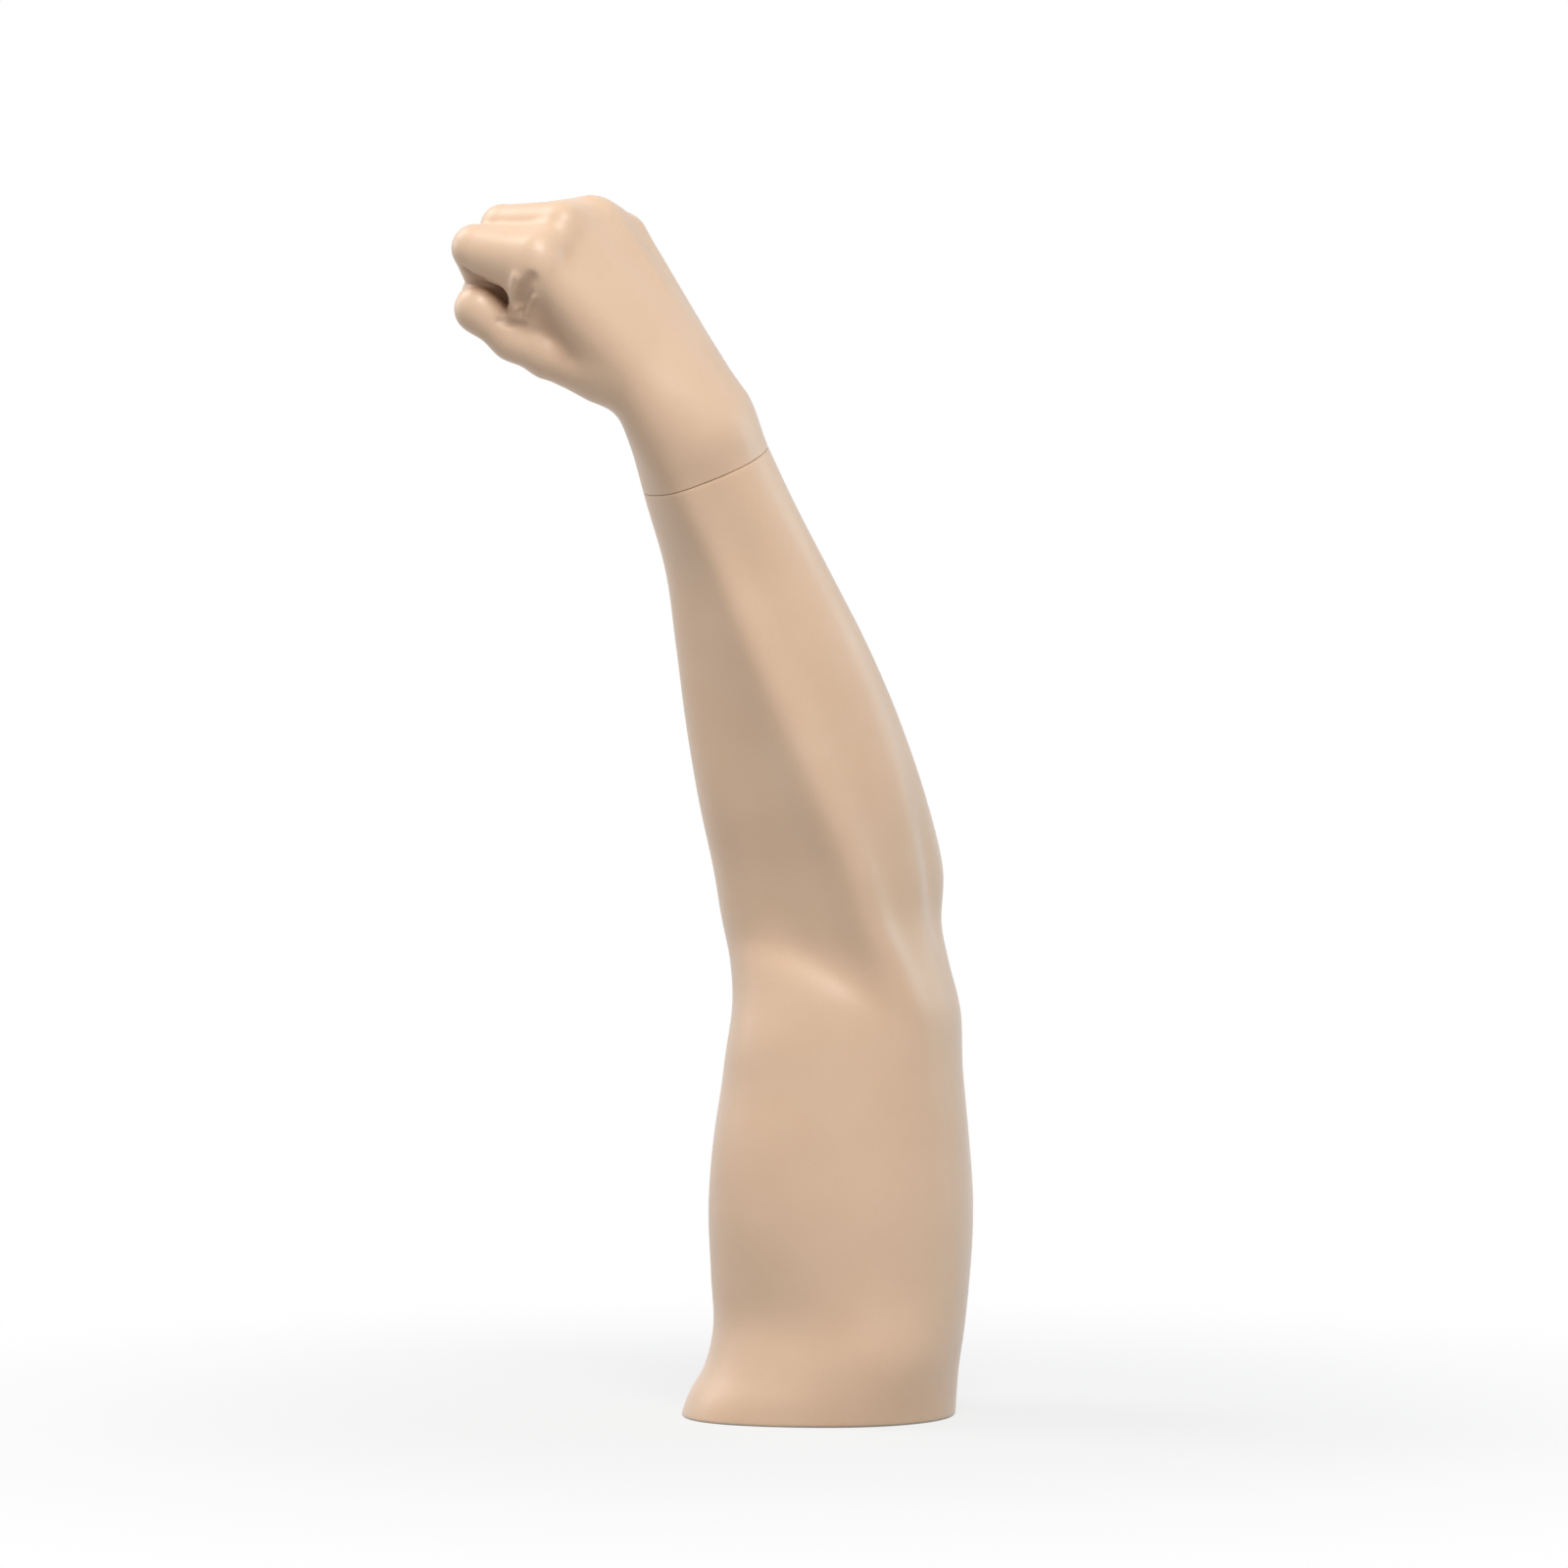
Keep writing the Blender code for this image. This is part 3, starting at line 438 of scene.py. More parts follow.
def fist_form(world):
    """Distance to the fist's skin, millimetres."""
    points = in_hand(world)
    palm = None
    for number, (start, end) in enumerate(PALM_BONES):
        palm = merge(palm, limb(points, start, end), BLEND["palm bones"])
        if number + 1 < len(PALM_BONES):
            ends = np.mean((PALM_BONES[number], PALM_BONES[number + 1]), axis=0)
            ends[:, 3] -= PALM_WEB
            palm = merge(palm, limb(points, *ends), BLEND["palm bones"])
    for forms, blend in ((PALM_PADS, BLEND["palm pads"]), (THUMB_BASE, BLEND["thumb base"]),
                         (THUMB_WEB, BLEND["thumb web"])):
        for start, end in forms:
            palm = merge(palm, limb(points, start, end), blend)
    skin = merge(wrist_form(world), palm, BLEND["wrist"])
    roots = tips = None
    for number, (knuckle, middle, last, tip) in enumerate(FINGERS):
        roots = merge(roots, limb(points, knuckle, middle), BLEND["finger roots"])
        if number + 1 < len(FINGERS):
            ends = np.mean((FINGERS[number][:2], FINGERS[number + 1][:2]), axis=0)
            ends[:, 3] -= FINGER_WEBS[number]
            roots = merge(roots, limb(points, *ends), BLEND["finger webs"])
        bent = merge(limb(points, middle, last), limb(points, last, tip), BLEND["finger bend"])
        tips = merge(tips, bent, BLEND["finger tips"])
    roots = merge(roots, limb(points, *INDEX_FLESH), BLEND["index flesh"])
    skin = merge(skin, merge(roots, tips, BLEND["curl"]), BLEND["fingers"])
    thumb = None
    for start, end in zip(THUMB, THUMB[1:]):
        thumb = merge(thumb, limb(points, start, end), BLEND["thumb limbs"])
    skin = merge(skin, thumb, BLEND["thumb"])
    for rise, width, _, path in FIST_FOLDS:
        skin = skin - rise * np.exp(-(path_distance(points, path) / width) ** 2)
    return skin


def painted_crease_shade(world):
    """How much painted shade darkens the fist's creases and the slit, 0 to 1."""
    points = in_hand(world)
    tint = np.zeros(len(points))
    for _, width, strength, path in FIST_FOLDS:
        away = path_distance(points, path) / (PAINTED_SHADE_WIDTH * width)
        tint = np.maximum(tint, strength * np.exp(-away ** 2))
    return tint


def skin_net(form, low, high, cell):
    """Quad mesh of the surface where the form is zero; only cells near it are worked out finely."""
    block = 4
    count = np.ceil((high - low) / (cell * block)).astype(int)
    axes = [low[k] + cell * block * np.arange(count[k] + 1) for k in range(3)]
    coarse_points = np.stack(np.meshgrid(*axes, indexing="ij"), -1)
    coarse = form(coarse_points.reshape(-1, 3)).reshape(count + 1)
    nearest = np.full(count, np.inf)
    for corner in np.ndindex(2, 2, 2):
        part = tuple(slice(c, c + n) for c, n in zip(corner, count))
        nearest = np.minimum(nearest, np.abs(coarse[part]))
    active = np.argwhere(nearest < cell * block * 1000)
    size = count * block + 1
    pick = [np.clip((np.arange(n) + block // 2) // block, 0, c) for n, c in zip(size, count)]
    field = coarse[np.ix_(*pick)]
    fine = np.zeros(size, bool)
    for step in np.ndindex(block + 1, block + 1, block + 1):
        fine[tuple((active * block + step).T)] = True
    spots = np.argwhere(fine)
    field[fine] = form(low + cell * spots)
    total, hits = np.zeros((*(size - 1), 3)), np.zeros(size - 1)
    crossings = []
    for k in range(3):
        first = tuple(slice(0, -1) if j == k else slice(None) for j in range(3))
        second = tuple(slice(1, None) if j == k else slice(None) for j in range(3))
        a, b = field[first], field[second]
        where = (a < 0) != (b < 0)
        index = np.argwhere(where)
        points = low + cell * index
        points[:, k] += cell * a[where] / (a[where] - b[where])
        crossings.append((k, index, a[where] < 0))
        others = [j for j in range(3) if j != k]
        for back_one in np.ndindex(2, 2):
            owner = index.copy()
            owner[:, others] -= back_one
            held = ((owner >= 0) & (owner < size - 1)).all(1)
            np.add.at(total, tuple(owner[held].T), points[held])
            np.add.at(hits, tuple(owner[held].T), 1)
    used = hits > 0
    number = np.full(size - 1, -1)
    number[used] = np.arange(used.sum())
    faces = []
    for k, index, inside in crossings:
        others = [(k + 1) % 3, (k + 2) % 3]
        held = ((index[:, others] > 0) & (index[:, others] < size[others] - 1)).all(1)
        index, inside, corners = index[held], inside[held], []
        for back_one in ((0, 0), (1, 0), (1, 1), (0, 1)):
            owner = index.copy()
            owner[:, others] -= back_one
            corners.append(number[tuple(owner.T)])
        quad = np.stack(corners, 1)
        quad[~inside] = quad[~inside][:, ::-1]
        faces.append(quad)
    return total[used] / hits[used][:, None], np.concatenate(faces)


def settle_on(form, points, rounds=3):
    """Points moved onto the surface along the form's slope."""
    step, least_slope = 0.00005, 0.2
    for _ in range(rounds):
        slope = np.stack([form(points + step * axis) - form(points - step * axis)
                          for axis in np.eye(3)], -1)
        slope = slope / (2 * step * 1000)
        off = form(points) / 1000
        points = points - slope * (off / np.maximum((slope * slope).sum(-1), least_slope))[:, None]
    return points


# Meshes
def add_object(name, data):
    """Puts an object with its data into the scene, at the origin."""
    made = bpy.data.objects.new(name, data)
    bpy.context.scene.collection.objects.link(made)
    return made


def soften(mesh, sharp):
    """Shades a mesh smooth, apart from edges that turn by more degrees than sharp."""
    mesh.polygons.foreach_set("use_smooth", [True] * len(mesh.polygons))
    mesh.set_sharp_from_angle(angle=math.radians(sharp))


def piece_from(name, points, faces, edge=None, tint=None, sharp=40):
    """Mesh object at the origin, its faces outwards.

    Each point has an edge value for rubbed paint and a tint value for painted shade.
    """
    mesh = bpy.data.meshes.new(name)
    mesh.from_pydata(np.asarray(points, float).tolist(), [], [tuple(face) for face in faces])
    bm = bmesh.new()
    bm.from_mesh(mesh)
    bmesh.ops.recalc_face_normals(bm, faces=bm.faces[:])
    bm.to_mesh(mesh)
    bm.free()
    # The tint attribute carries the painted shade of the creases; the edge attribute carries the rubbed
    # paint
    for label, values in (("edge", edge), ("tint", tint)):
        values = np.zeros(len(points)) if values is None else np.asarray(values, float)
        mesh.attributes.new(label, "FLOAT", "POINT").data.foreach_set("value", values)
    soften(mesh, sharp)
    return add_object(name, mesh)


def ring_faces(rings, around, closed=False):
    """Quads between rings of points that follow each other."""
    faces = []
    for ring in range(rings if closed else rings - 1):
        base, after = ring * around, (ring + 1) % rings * around
        for k in range(around):
            faces.append((base + k, base + (k + 1) % around, after + (k + 1) % around, after + k))
    return faces


def capped_faces(rings, around):
    """Quads between the rings, and one face that closes each end."""
    last = (rings - 1) * around
    return ring_faces(rings, around) + [tuple(range(around)), tuple(range(last + around - 1, last - 1, -1))]


def placed(frame_at, points):
    """Points of a local frame in the model's frame."""
    return np.asarray(points, float) @ np.array(frame_at.to_3x3()).T + np.array(frame_at.translation)


def axis_frame(origin, up, side):
    """Frame at the origin with its Z along up and its X towards the side."""
    up, side = Vector(up).normalized(), Vector(side)
    side = (side - up * side.dot(up)).normalized()
    turn = Matrix((side, up.cross(side), up)).transposed().to_4x4()
    return Matrix.Translation(Vector(origin)) @ turn


def turned_rings(profile, sides):
    """Rings of points around Z, one for each (radius, height) pair."""
    turn = np.linspace(0, 2 * math.pi, sides, endpoint=False)
    return np.concatenate([np.stack((r * np.cos(turn), r * np.sin(turn), np.full(sides, h)), -1)
                           for r, h in profile])


def lathe(name, profile, frame_at, sides=64, sharp=40):
    """Turned piece from (radius, height) pairs, capped at both ends."""
    return piece_from(name, placed(frame_at, turned_rings(profile, sides)),
                      capped_faces(len(profile), sides), sharp=sharp)


def tube(name, profile, frame_at, sides=64):
    """Turned ring from a closed outline of (radius, height) pairs."""
    return piece_from(name, placed(frame_at, turned_rings(profile, sides)),
                      ring_faces(len(profile), sides, closed=True))


def rounded_bar(name, half_long, half_wide, low, high, corner, edge, frame_at, steps=6):
    """Flat bar with round corners and softened edges."""
    outline = []
    for cx, cy, start in ((1, 1, 0), (-1, 1, 90), (-1, -1, 180), (1, -1, 270)):
        for k in range(steps + 1):
            turn = math.radians(start + 90 * k / steps)
            outline.append((cx * (half_long - corner), cy * (half_wide - corner), turn))
    rings = []
    for inset, height in ((edge, low), (0, low + edge), (0, high - edge), (edge, high)):
        rings.append([(x + (corner - inset) * math.cos(turn), y + (corner - inset) * math.sin(turn), height)
                      for x, y, turn in outline])
    return piece_from(name, placed(frame_at, np.concatenate(rings)), capped_faces(len(rings), len(outline)))


def cut_out(piece, cutters):
    """Takes the cutters out of a piece and removes them."""
    for cutter in cutters:
        modifier = piece.modifiers.new("cut", "BOOLEAN")
        modifier.operation = "DIFFERENCE"
        modifier.solver = "EXACT"
        modifier.object = cutter
    bake(piece)
    for cutter in cutters:
        bpy.data.objects.remove(cutter, do_unlink=True)


def bake(piece):
    """Turns what the modifiers show into the piece's own mesh and removes them."""
    shown = piece.evaluated_get(bpy.context.evaluated_depsgraph_get())
    mesh = bpy.data.meshes.new_from_object(shown)
    piece.modifiers.clear()
    piece.data = mesh
    soften(mesh, CUT_SHARP)


def screw_hole(frame_at, radius, head, length):
    """Cutter for a countersunk hole whose head face is at the frame's origin, along -Z."""
    profile = [(radius, -length), (radius, radius - head - SINK_RIM), (head, -SINK_RIM), (head, CUT_PAST)]
    return lathe("hole", profile, frame_at, sides=32)


def hand_in(piece, body, slot, *nodes):
    """Attaches a finished piece to its body and hides the solids that it stands for; the slot is not used.
    """
    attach(piece, body)
    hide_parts(*nodes)


def join(name, pieces):
    """One piece out of several closed ones."""
    bm = bmesh.new()
    for piece in pieces:
        bm.from_mesh(piece.data)
        bpy.data.objects.remove(piece, do_unlink=True)
    mesh = bpy.data.meshes.new(name)
    bm.to_mesh(mesh)
    bm.free()
    soften(mesh, CUT_SHARP)
    return add_object(name, mesh)


def paint(piece, material):
    """Gives a piece one finish."""
    piece.data.materials.clear()
    piece.data.materials.append(material)


# Node trees
def put(tree, kind, values=None, **settings):
    """Adds a node, sets it up and links or sets its inputs."""
    node = tree.nodes.new(kind)
    for key, value in settings.items():
        setattr(node, key, value)
    for key, value in (values or {}).items():
        if isinstance(value, bpy.types.NodeSocket):
            tree.links.new(value, node.inputs[key])
        else:
            node.inputs[key].default_value = value
    return node


def sum_up(tree, operation, first, second=0.0, third=0.0):
    """One arithmetic node; gives back its result."""
    return put(tree, "ShaderNodeMath", {0: first, 1: second, 2: third}, operation=operation).outputs[0]


def spread(tree, value, low, high, to_low, to_high):
    """Maps a range of values onto another."""
    return put(tree, "ShaderNodeMapRange", {"Value": value, "From Min": low, "From Max": high,
                                            "To Min": to_low, "To Max": to_high}).outputs["Result"]


def mix_colours(tree, share, first, second):
    """One colour that goes over into another."""
    return put(tree, "ShaderNodeMix", {"Factor": share, "A": first, "B": second},
               data_type="RGBA").outputs["Result"]


def new_group(name, inputs, outputs):
    """New shader node group with named sockets: its tree, its start and its end."""
    tree = bpy.data.node_groups.new(name, "ShaderNodeTree")
    for label, kind, default in inputs:
        socket = tree.interface.new_socket(label, in_out="INPUT", socket_type=kind)
        if default is not None:
            socket.default_value = default
    for label, kind in outputs:
        tree.interface.new_socket(label, in_out="OUTPUT", socket_type=kind)
    return tree, tree.nodes.new("NodeGroupInput"), tree.nodes.new("NodeGroupOutput")


def finish_group(tree, ends, results):
    """Links a group's results to its outputs."""
    for label, socket in results.items():
        tree.links.new(socket, ends.inputs[label])
    return tree


def mottle_group():
    """Broad clouds and fine specks of a sprayed or natural surface."""
    tree, start, ends = new_group("mottle", (("Vector", "NodeSocketVector", None),
                                             ("Cloud Scale", "NodeSocketFloat", 18.0),
                                             ("Speck Scale", "NodeSocketFloat", 900.0),
                                             ("Speck Share", "NodeSocketFloat", 0.25)),
                                  (("Shade", "NodeSocketFloat"),))
    clouds = put(tree, "ShaderNodeTexNoise", {"Vector": start.outputs["Vector"], "Detail": 3.0,
                                              "Scale": start.outputs["Cloud Scale"], "Roughness": 0.55})
    specks = put(tree, "ShaderNodeTexNoise", {"Vector": start.outputs["Vector"], "Detail": 2.0,
                                              "Scale": start.outputs["Speck Scale"]})
    cloud = spread(tree, clouds.outputs[0], 0.3, 0.7, 0.0, 1.0)
    speck = spread(tree, specks.outputs[0], 0.3, 0.7, 0.0, 1.0)
    fine = sum_up(tree, "SUBTRACT", speck, 0.5)
    shade = sum_up(tree, "MULTIPLY_ADD", fine, start.outputs["Speck Share"], cloud)
    return finish_group(tree, ends, {"Shade": shade})


def peel_group():
    """Fine orange peel of sprayed paint over slow waves of the moulding."""
    tree, start, ends = new_group("orange_peel", (("Vector", "NodeSocketVector", None),
                                                  ("Peel Scale", "NodeSocketFloat", 520.0),
                                                  ("Wave Scale", "NodeSocketFloat", 45.0),
                                                  ("Wave Share", "NodeSocketFloat", 1.5)),
                                  (("Height", "NodeSocketFloat"),))
    peel = put(tree, "ShaderNodeTexNoise", {"Vector": start.outputs["Vector"], "Detail": 2.0,
                                            "Scale": start.outputs["Peel Scale"]})
    wave = put(tree, "ShaderNodeTexNoise", {"Vector": start.outputs["Vector"], "Detail": 1.0,
                                            "Scale": start.outputs["Wave Scale"]})
    height = sum_up(tree, "MULTIPLY_ADD", wave.outputs[0], start.outputs["Wave Share"], peel.outputs[0])
    return finish_group(tree, ends, {"Height": height})


def wear_group():
    """Rubbed places along marked edges, broken up by noise."""
    tree, start, ends = new_group("edge_wear", (("Vector", "NodeSocketVector", None),
                                                ("Edge", "NodeSocketFloat", 0.0),
                                                ("Patch Scale", "NodeSocketFloat", 260.0),
                                                ("Reach", "NodeSocketFloat", 0.5)),
                                  (("Mask", "NodeSocketFloat"),))
    patch = put(tree, "ShaderNodeTexNoise", {"Vector": start.outputs["Vector"], "Detail": 4.0,
                                             "Scale": start.outputs["Patch Scale"], "Roughness": 0.65})
    raised = sum_up(tree, "MULTIPLY", start.outputs["Edge"], sum_up(tree, "ADD", patch.outputs[0], 0.5))
    low = sum_up(tree, "SUBTRACT", 1.0, start.outputs["Reach"])
    high = sum_up(tree, "ADD", low, 0.12)
    mask = put(tree, "ShaderNodeMapRange", {"Value": raised, "From Min": low, "From Max": high},
               interpolation_type="SMOOTHSTEP").outputs["Result"]
    return finish_group(tree, ends, {"Mask": mask})


def scratch_group():
    """Fine handling scratches that lie in two directions."""
    tree, start, ends = new_group("fine_scratches", (("Vector", "NodeSocketVector", None),
                                                     ("Scale", "NodeSocketFloat", 60.0)),
                                  (("Marks", "NodeSocketFloat"),))
    marks = None
    for turn, stretch in ((0.7, 14.0), (2.1, 22.0)):
        laid = put(tree, "ShaderNodeMapping", {"Vector": start.outputs["Vector"],
                                               "Rotation": (0.4, turn, 1.3 * turn),
                                               "Scale": (1.0, stretch, stretch)})
        lines = put(tree, "ShaderNodeTexNoise", {"Vector": laid.outputs[0], "Scale": start.outputs["Scale"],
                                                 "Detail": 3.0, "Roughness": 0.6})
        line = spread(tree, lines.outputs[0], 0.62, 0.72, 0.0, 1.0)
        marks = line if marks is None else sum_up(tree, "MAXIMUM", marks, line)
    return finish_group(tree, ends, {"Marks": marks})


def wood_group():
    """Rotary-cut veneer: long wavy figure and short dark pores, with the fibres along X."""
    tree, start, ends = new_group("wood_figure", (("Vector", "NodeSocketVector", None),
                                                  ("Figure Scale", "NodeSocketFloat", 60.0),
                                                  ("Pore Scale", "NodeSocketFloat", 700.0)),
                                  (("Figure", "NodeSocketFloat"), ("Pores", "NodeSocketFloat")))
    where = start.outputs["Vector"]
    long_way = put(tree, "ShaderNodeMapping", {"Vector": where, "Scale": (0.16, 1.0, 0.5)})
    bend = put(tree, "ShaderNodeTexNoise", {"Vector": long_way.outputs[0], "Scale": 40.0, "Detail": 2.0})
    bent = put(tree, "ShaderNodeVectorMath", {0: long_way.outputs[0], 1: bend.outputs["Color"],
                                              2: (0.012,) * 3}, operation="MULTIPLY_ADD")
    bands = put(tree, "ShaderNodeTexWave", {
        "Vector": bent.outputs[0], "Scale": start.outputs["Figure Scale"],
        "Distortion": 5.0, "Detail": 3.0, "Detail Scale": 1.2}, bands_direction="Y")
    short = put(tree, "ShaderNodeMapping", {"Vector": where, "Scale": (0.06, 1.0, 0.4)})
    pores = put(tree, "ShaderNodeTexNoise", {
        "Vector": short.outputs[0], "Scale": start.outputs["Pore Scale"], "Detail": 2.0})
    return finish_group(tree, ends, {"Figure": bands.outputs["Fac"],
                                     "Pores": spread(tree, pores.outputs[0], 0.60, 0.72, 0.0, 1.0)})


def turning_group():
    """Fine rings that a lathe leaves around the local Z axis."""
    tree, start, ends = new_group("turning_marks", (("Vector", "NodeSocketVector", None),
                                                    ("Pitch", "NodeSocketFloat", 0.00035)),
                                  (("Height", "NodeSocketFloat"),))
    apart = put(tree, "ShaderNodeSeparateXYZ", {"Vector": start.outputs["Vector"]})
    square = sum_up(tree, "MULTIPLY_ADD", apart.outputs[0], apart.outputs[0],
                    sum_up(tree, "MULTIPLY", apart.outputs[1], apart.outputs[1]))
    reach = sum_up(tree, "ADD", sum_up(tree, "SQRT", square), apart.outputs[2])
    turns = sum_up(tree, "DIVIDE", reach, start.outputs["Pitch"])
    wave = sum_up(tree, "SINE", sum_up(tree, "MULTIPLY", turns, 2 * math.pi))
    uneven = put(tree, "ShaderNodeTexNoise", {"W": turns, "Scale": 0.37, "Detail": 2.0},
                 noise_dimensions="1D")
    return finish_group(tree, ends, {"Height": sum_up(tree, "MULTIPLY", wave, uneven.outputs[0])})


def use(tree, name, maker, values):
    """Places a node group that several materials share; the maker builds it once."""
    return put(tree, "ShaderNodeGroup", values, node_tree=bpy.data.node_groups.get(name) or maker())


def new_material(name, roughness=0.5, metallic=0.0):
    """New material: itself, its tree and its shader."""
    material = bpy.data.materials.new(name)
    material.use_nodes = True
    shader = material.node_tree.nodes["Principled BSDF"]
    shader.inputs["Roughness"].default_value = roughness
    shader.inputs["Metallic"].default_value = metallic
    return material, material.node_tree, shader


def add_bump(tree, shader, height, strength, distance):
    """Raises a shader's surface by a height pattern."""
    bump = put(tree, "ShaderNodeBump", {"Height": height, "Strength": strength, "Distance": distance})
    tree.links.new(bump.outputs[0], shader.inputs["Normal"])


def solid(colour):
    """Colour with full cover."""
    return (*colour, 1.0)


# Finishes
def skin_paint(finish):
    """Satin peach paint, sprayed over the moulding and rubbed through at the cut edges; painted shade
    darkens the fist's creases.
    """
    known = bpy.data.materials.get("skin_paint_satin")
    if known:
        return known
    material, tree, shader = new_material("skin_paint_satin")
    shader.inputs["Sheen Weight"].default_value = 0.3
    shader.inputs["Sheen Roughness"].default_value = 0.4
    where = put(tree, "ShaderNodeTexCoord").outputs["Object"]
    mottle = use(tree, "mottle", mottle_group, {"Vector": where})
    colour = mix_colours(tree, mottle.outputs["Shade"], solid(finish.skin), solid(finish.skin_shade))
    # Painted shade: the tint attribute darkens the fist's creases and the slit towards the crease shade
    # colour
    tint = put(tree, "ShaderNodeAttribute", attribute_name="tint").outputs["Fac"]
    colour = mix_colours(tree, tint, colour, solid(finish.crease_shade_colour))
    edge = put(tree, "ShaderNodeAttribute", attribute_name="edge").outputs["Fac"]
    wear = use(tree, "edge_wear", wear_group, {"Vector": where, "Edge": edge})
    colour = mix_colours(tree, wear.outputs["Mask"], colour, solid(finish.laminate))
    tree.links.new(colour, shader.inputs["Base Color"])
    marks = use(tree, "fine_scratches", scratch_group, {"Vector": where})
    rough = sum_up(tree, "MULTIPLY_ADD", marks.outputs["Marks"], 0.05,
                   spread(tree, mottle.outputs["Shade"], 0.0, 1.0, 0.39, 0.46))
    rough = sum_up(tree, "MULTIPLY_ADD", wear.outputs["Mask"], 0.2, rough)
    tree.links.new(rough, shader.inputs["Roughness"])
    peel = use(tree, "orange_peel", peel_group, {"Vector": where})
    add_bump(tree, shader, peel.outputs["Height"], 0.25, 0.0002)
    return material


def plywood(finish, name, turn=(0.0, 0.0, 0.0)):
    """Birch plywood with a thin coat of sealer."""
    known = bpy.data.materials.get(name)
    if known:
        return known
    material, tree, shader = new_material(name)
    where = put(tree, "ShaderNodeTexCoord").outputs["Object"]
    laid = put(tree, "ShaderNodeMapping", {"Vector": where, "Rotation": turn}).outputs[0]
    wood = use(tree, "wood_figure", wood_group, {"Vector": laid})
    mottle = use(tree, "mottle", mottle_group, {"Vector": laid, "Cloud Scale": 30.0})
    figure = sum_up(tree, "MULTIPLY", wood.outputs["Figure"], 0.45)
    figure = sum_up(tree, "MULTIPLY_ADD", wood.outputs["Pores"], 0.35, figure)
    figure = sum_up(tree, "MULTIPLY_ADD", mottle.outputs["Shade"], 0.2, figure)
    tree.links.new(mix_colours(tree, figure, solid(finish.birch), solid(finish.birch_dark)),
                   shader.inputs["Base Color"])
    tree.links.new(spread(tree, wood.outputs["Pores"], 0.0, 1.0, 0.50, 0.75), shader.inputs["Roughness"])
    add_bump(tree, shader, sum_up(tree, "SUBTRACT", 1.0, wood.outputs["Pores"]), 0.3, 0.0001)
    return material


def turned_metal(name, colour, low, high):
    """Turned or plated metal with lathe rings about the wrist axis and handling marks.

    Its roughness lies between low and high, and a little over that in a scratch.
    """
    known = bpy.data.materials.get(name)
    if known:
        return known
    material, tree, shader = new_material(name, metallic=1.0)
    where = put(tree, "ShaderNodeTexCoord").outputs["Object"]
    turn = wrist_frame().to_euler()
    local = put(tree, "ShaderNodeMapping", {"Vector": where, "Location": tuple(SEAM), "Rotation": turn},
                vector_type="TEXTURE").outputs[0]
    mottle = use(tree, "mottle", mottle_group, {"Vector": where, "Cloud Scale": 90.0,
                                                "Speck Scale": 2500.0})
    dull = tuple(channel * 0.72 for channel in colour)
    tree.links.new(mix_colours(tree, mottle.outputs["Shade"], solid(colour), solid(dull)),
                   shader.inputs["Base Color"])
    marks = use(tree, "fine_scratches", scratch_group, {"Vector": where, "Scale": 160.0})
    rough = sum_up(tree, "MULTIPLY_ADD", marks.outputs["Marks"], 0.12,
                   spread(tree, mottle.outputs["Shade"], 0.0, 1.0, low, high))
    tree.links.new(rough, shader.inputs["Roughness"])
    rings = use(tree, "turning_marks", turning_group, {"Vector": local})
    add_bump(tree, shader, rings.outputs["Height"], 0.15, 0.00005)
    return material


def cast_iron(finish):
    """Ballast iron, rough from the mould, in thin black paint."""
    known = bpy.data.materials.get("ballast_cast_iron")
    if known:
        return known
    material, tree, shader = new_material("ballast_cast_iron", metallic=0.6)
    where = put(tree, "ShaderNodeTexCoord").outputs["Object"]
    mottle = use(tree, "mottle", mottle_group, {"Vector": where, "Cloud Scale": 60.0, "Speck Scale": 1200.0,
                                                "Speck Share": 0.6})
    pale = tuple(channel * 1.8 for channel in finish.iron)
    tree.links.new(mix_colours(tree, mottle.outputs["Shade"], solid(finish.iron), solid(pale)),
                   shader.inputs["Base Color"])
    tree.links.new(spread(tree, mottle.outputs["Shade"], 0.0, 1.0, 0.55, 0.75), shader.inputs["Roughness"])
    peel = use(tree, "orange_peel", peel_group, {"Vector": where, "Peel Scale": 1100.0,
                                                 "Wave Scale": 300.0})
    add_bump(tree, shader, peel.outputs["Height"], 0.5, 0.0004)
    return material


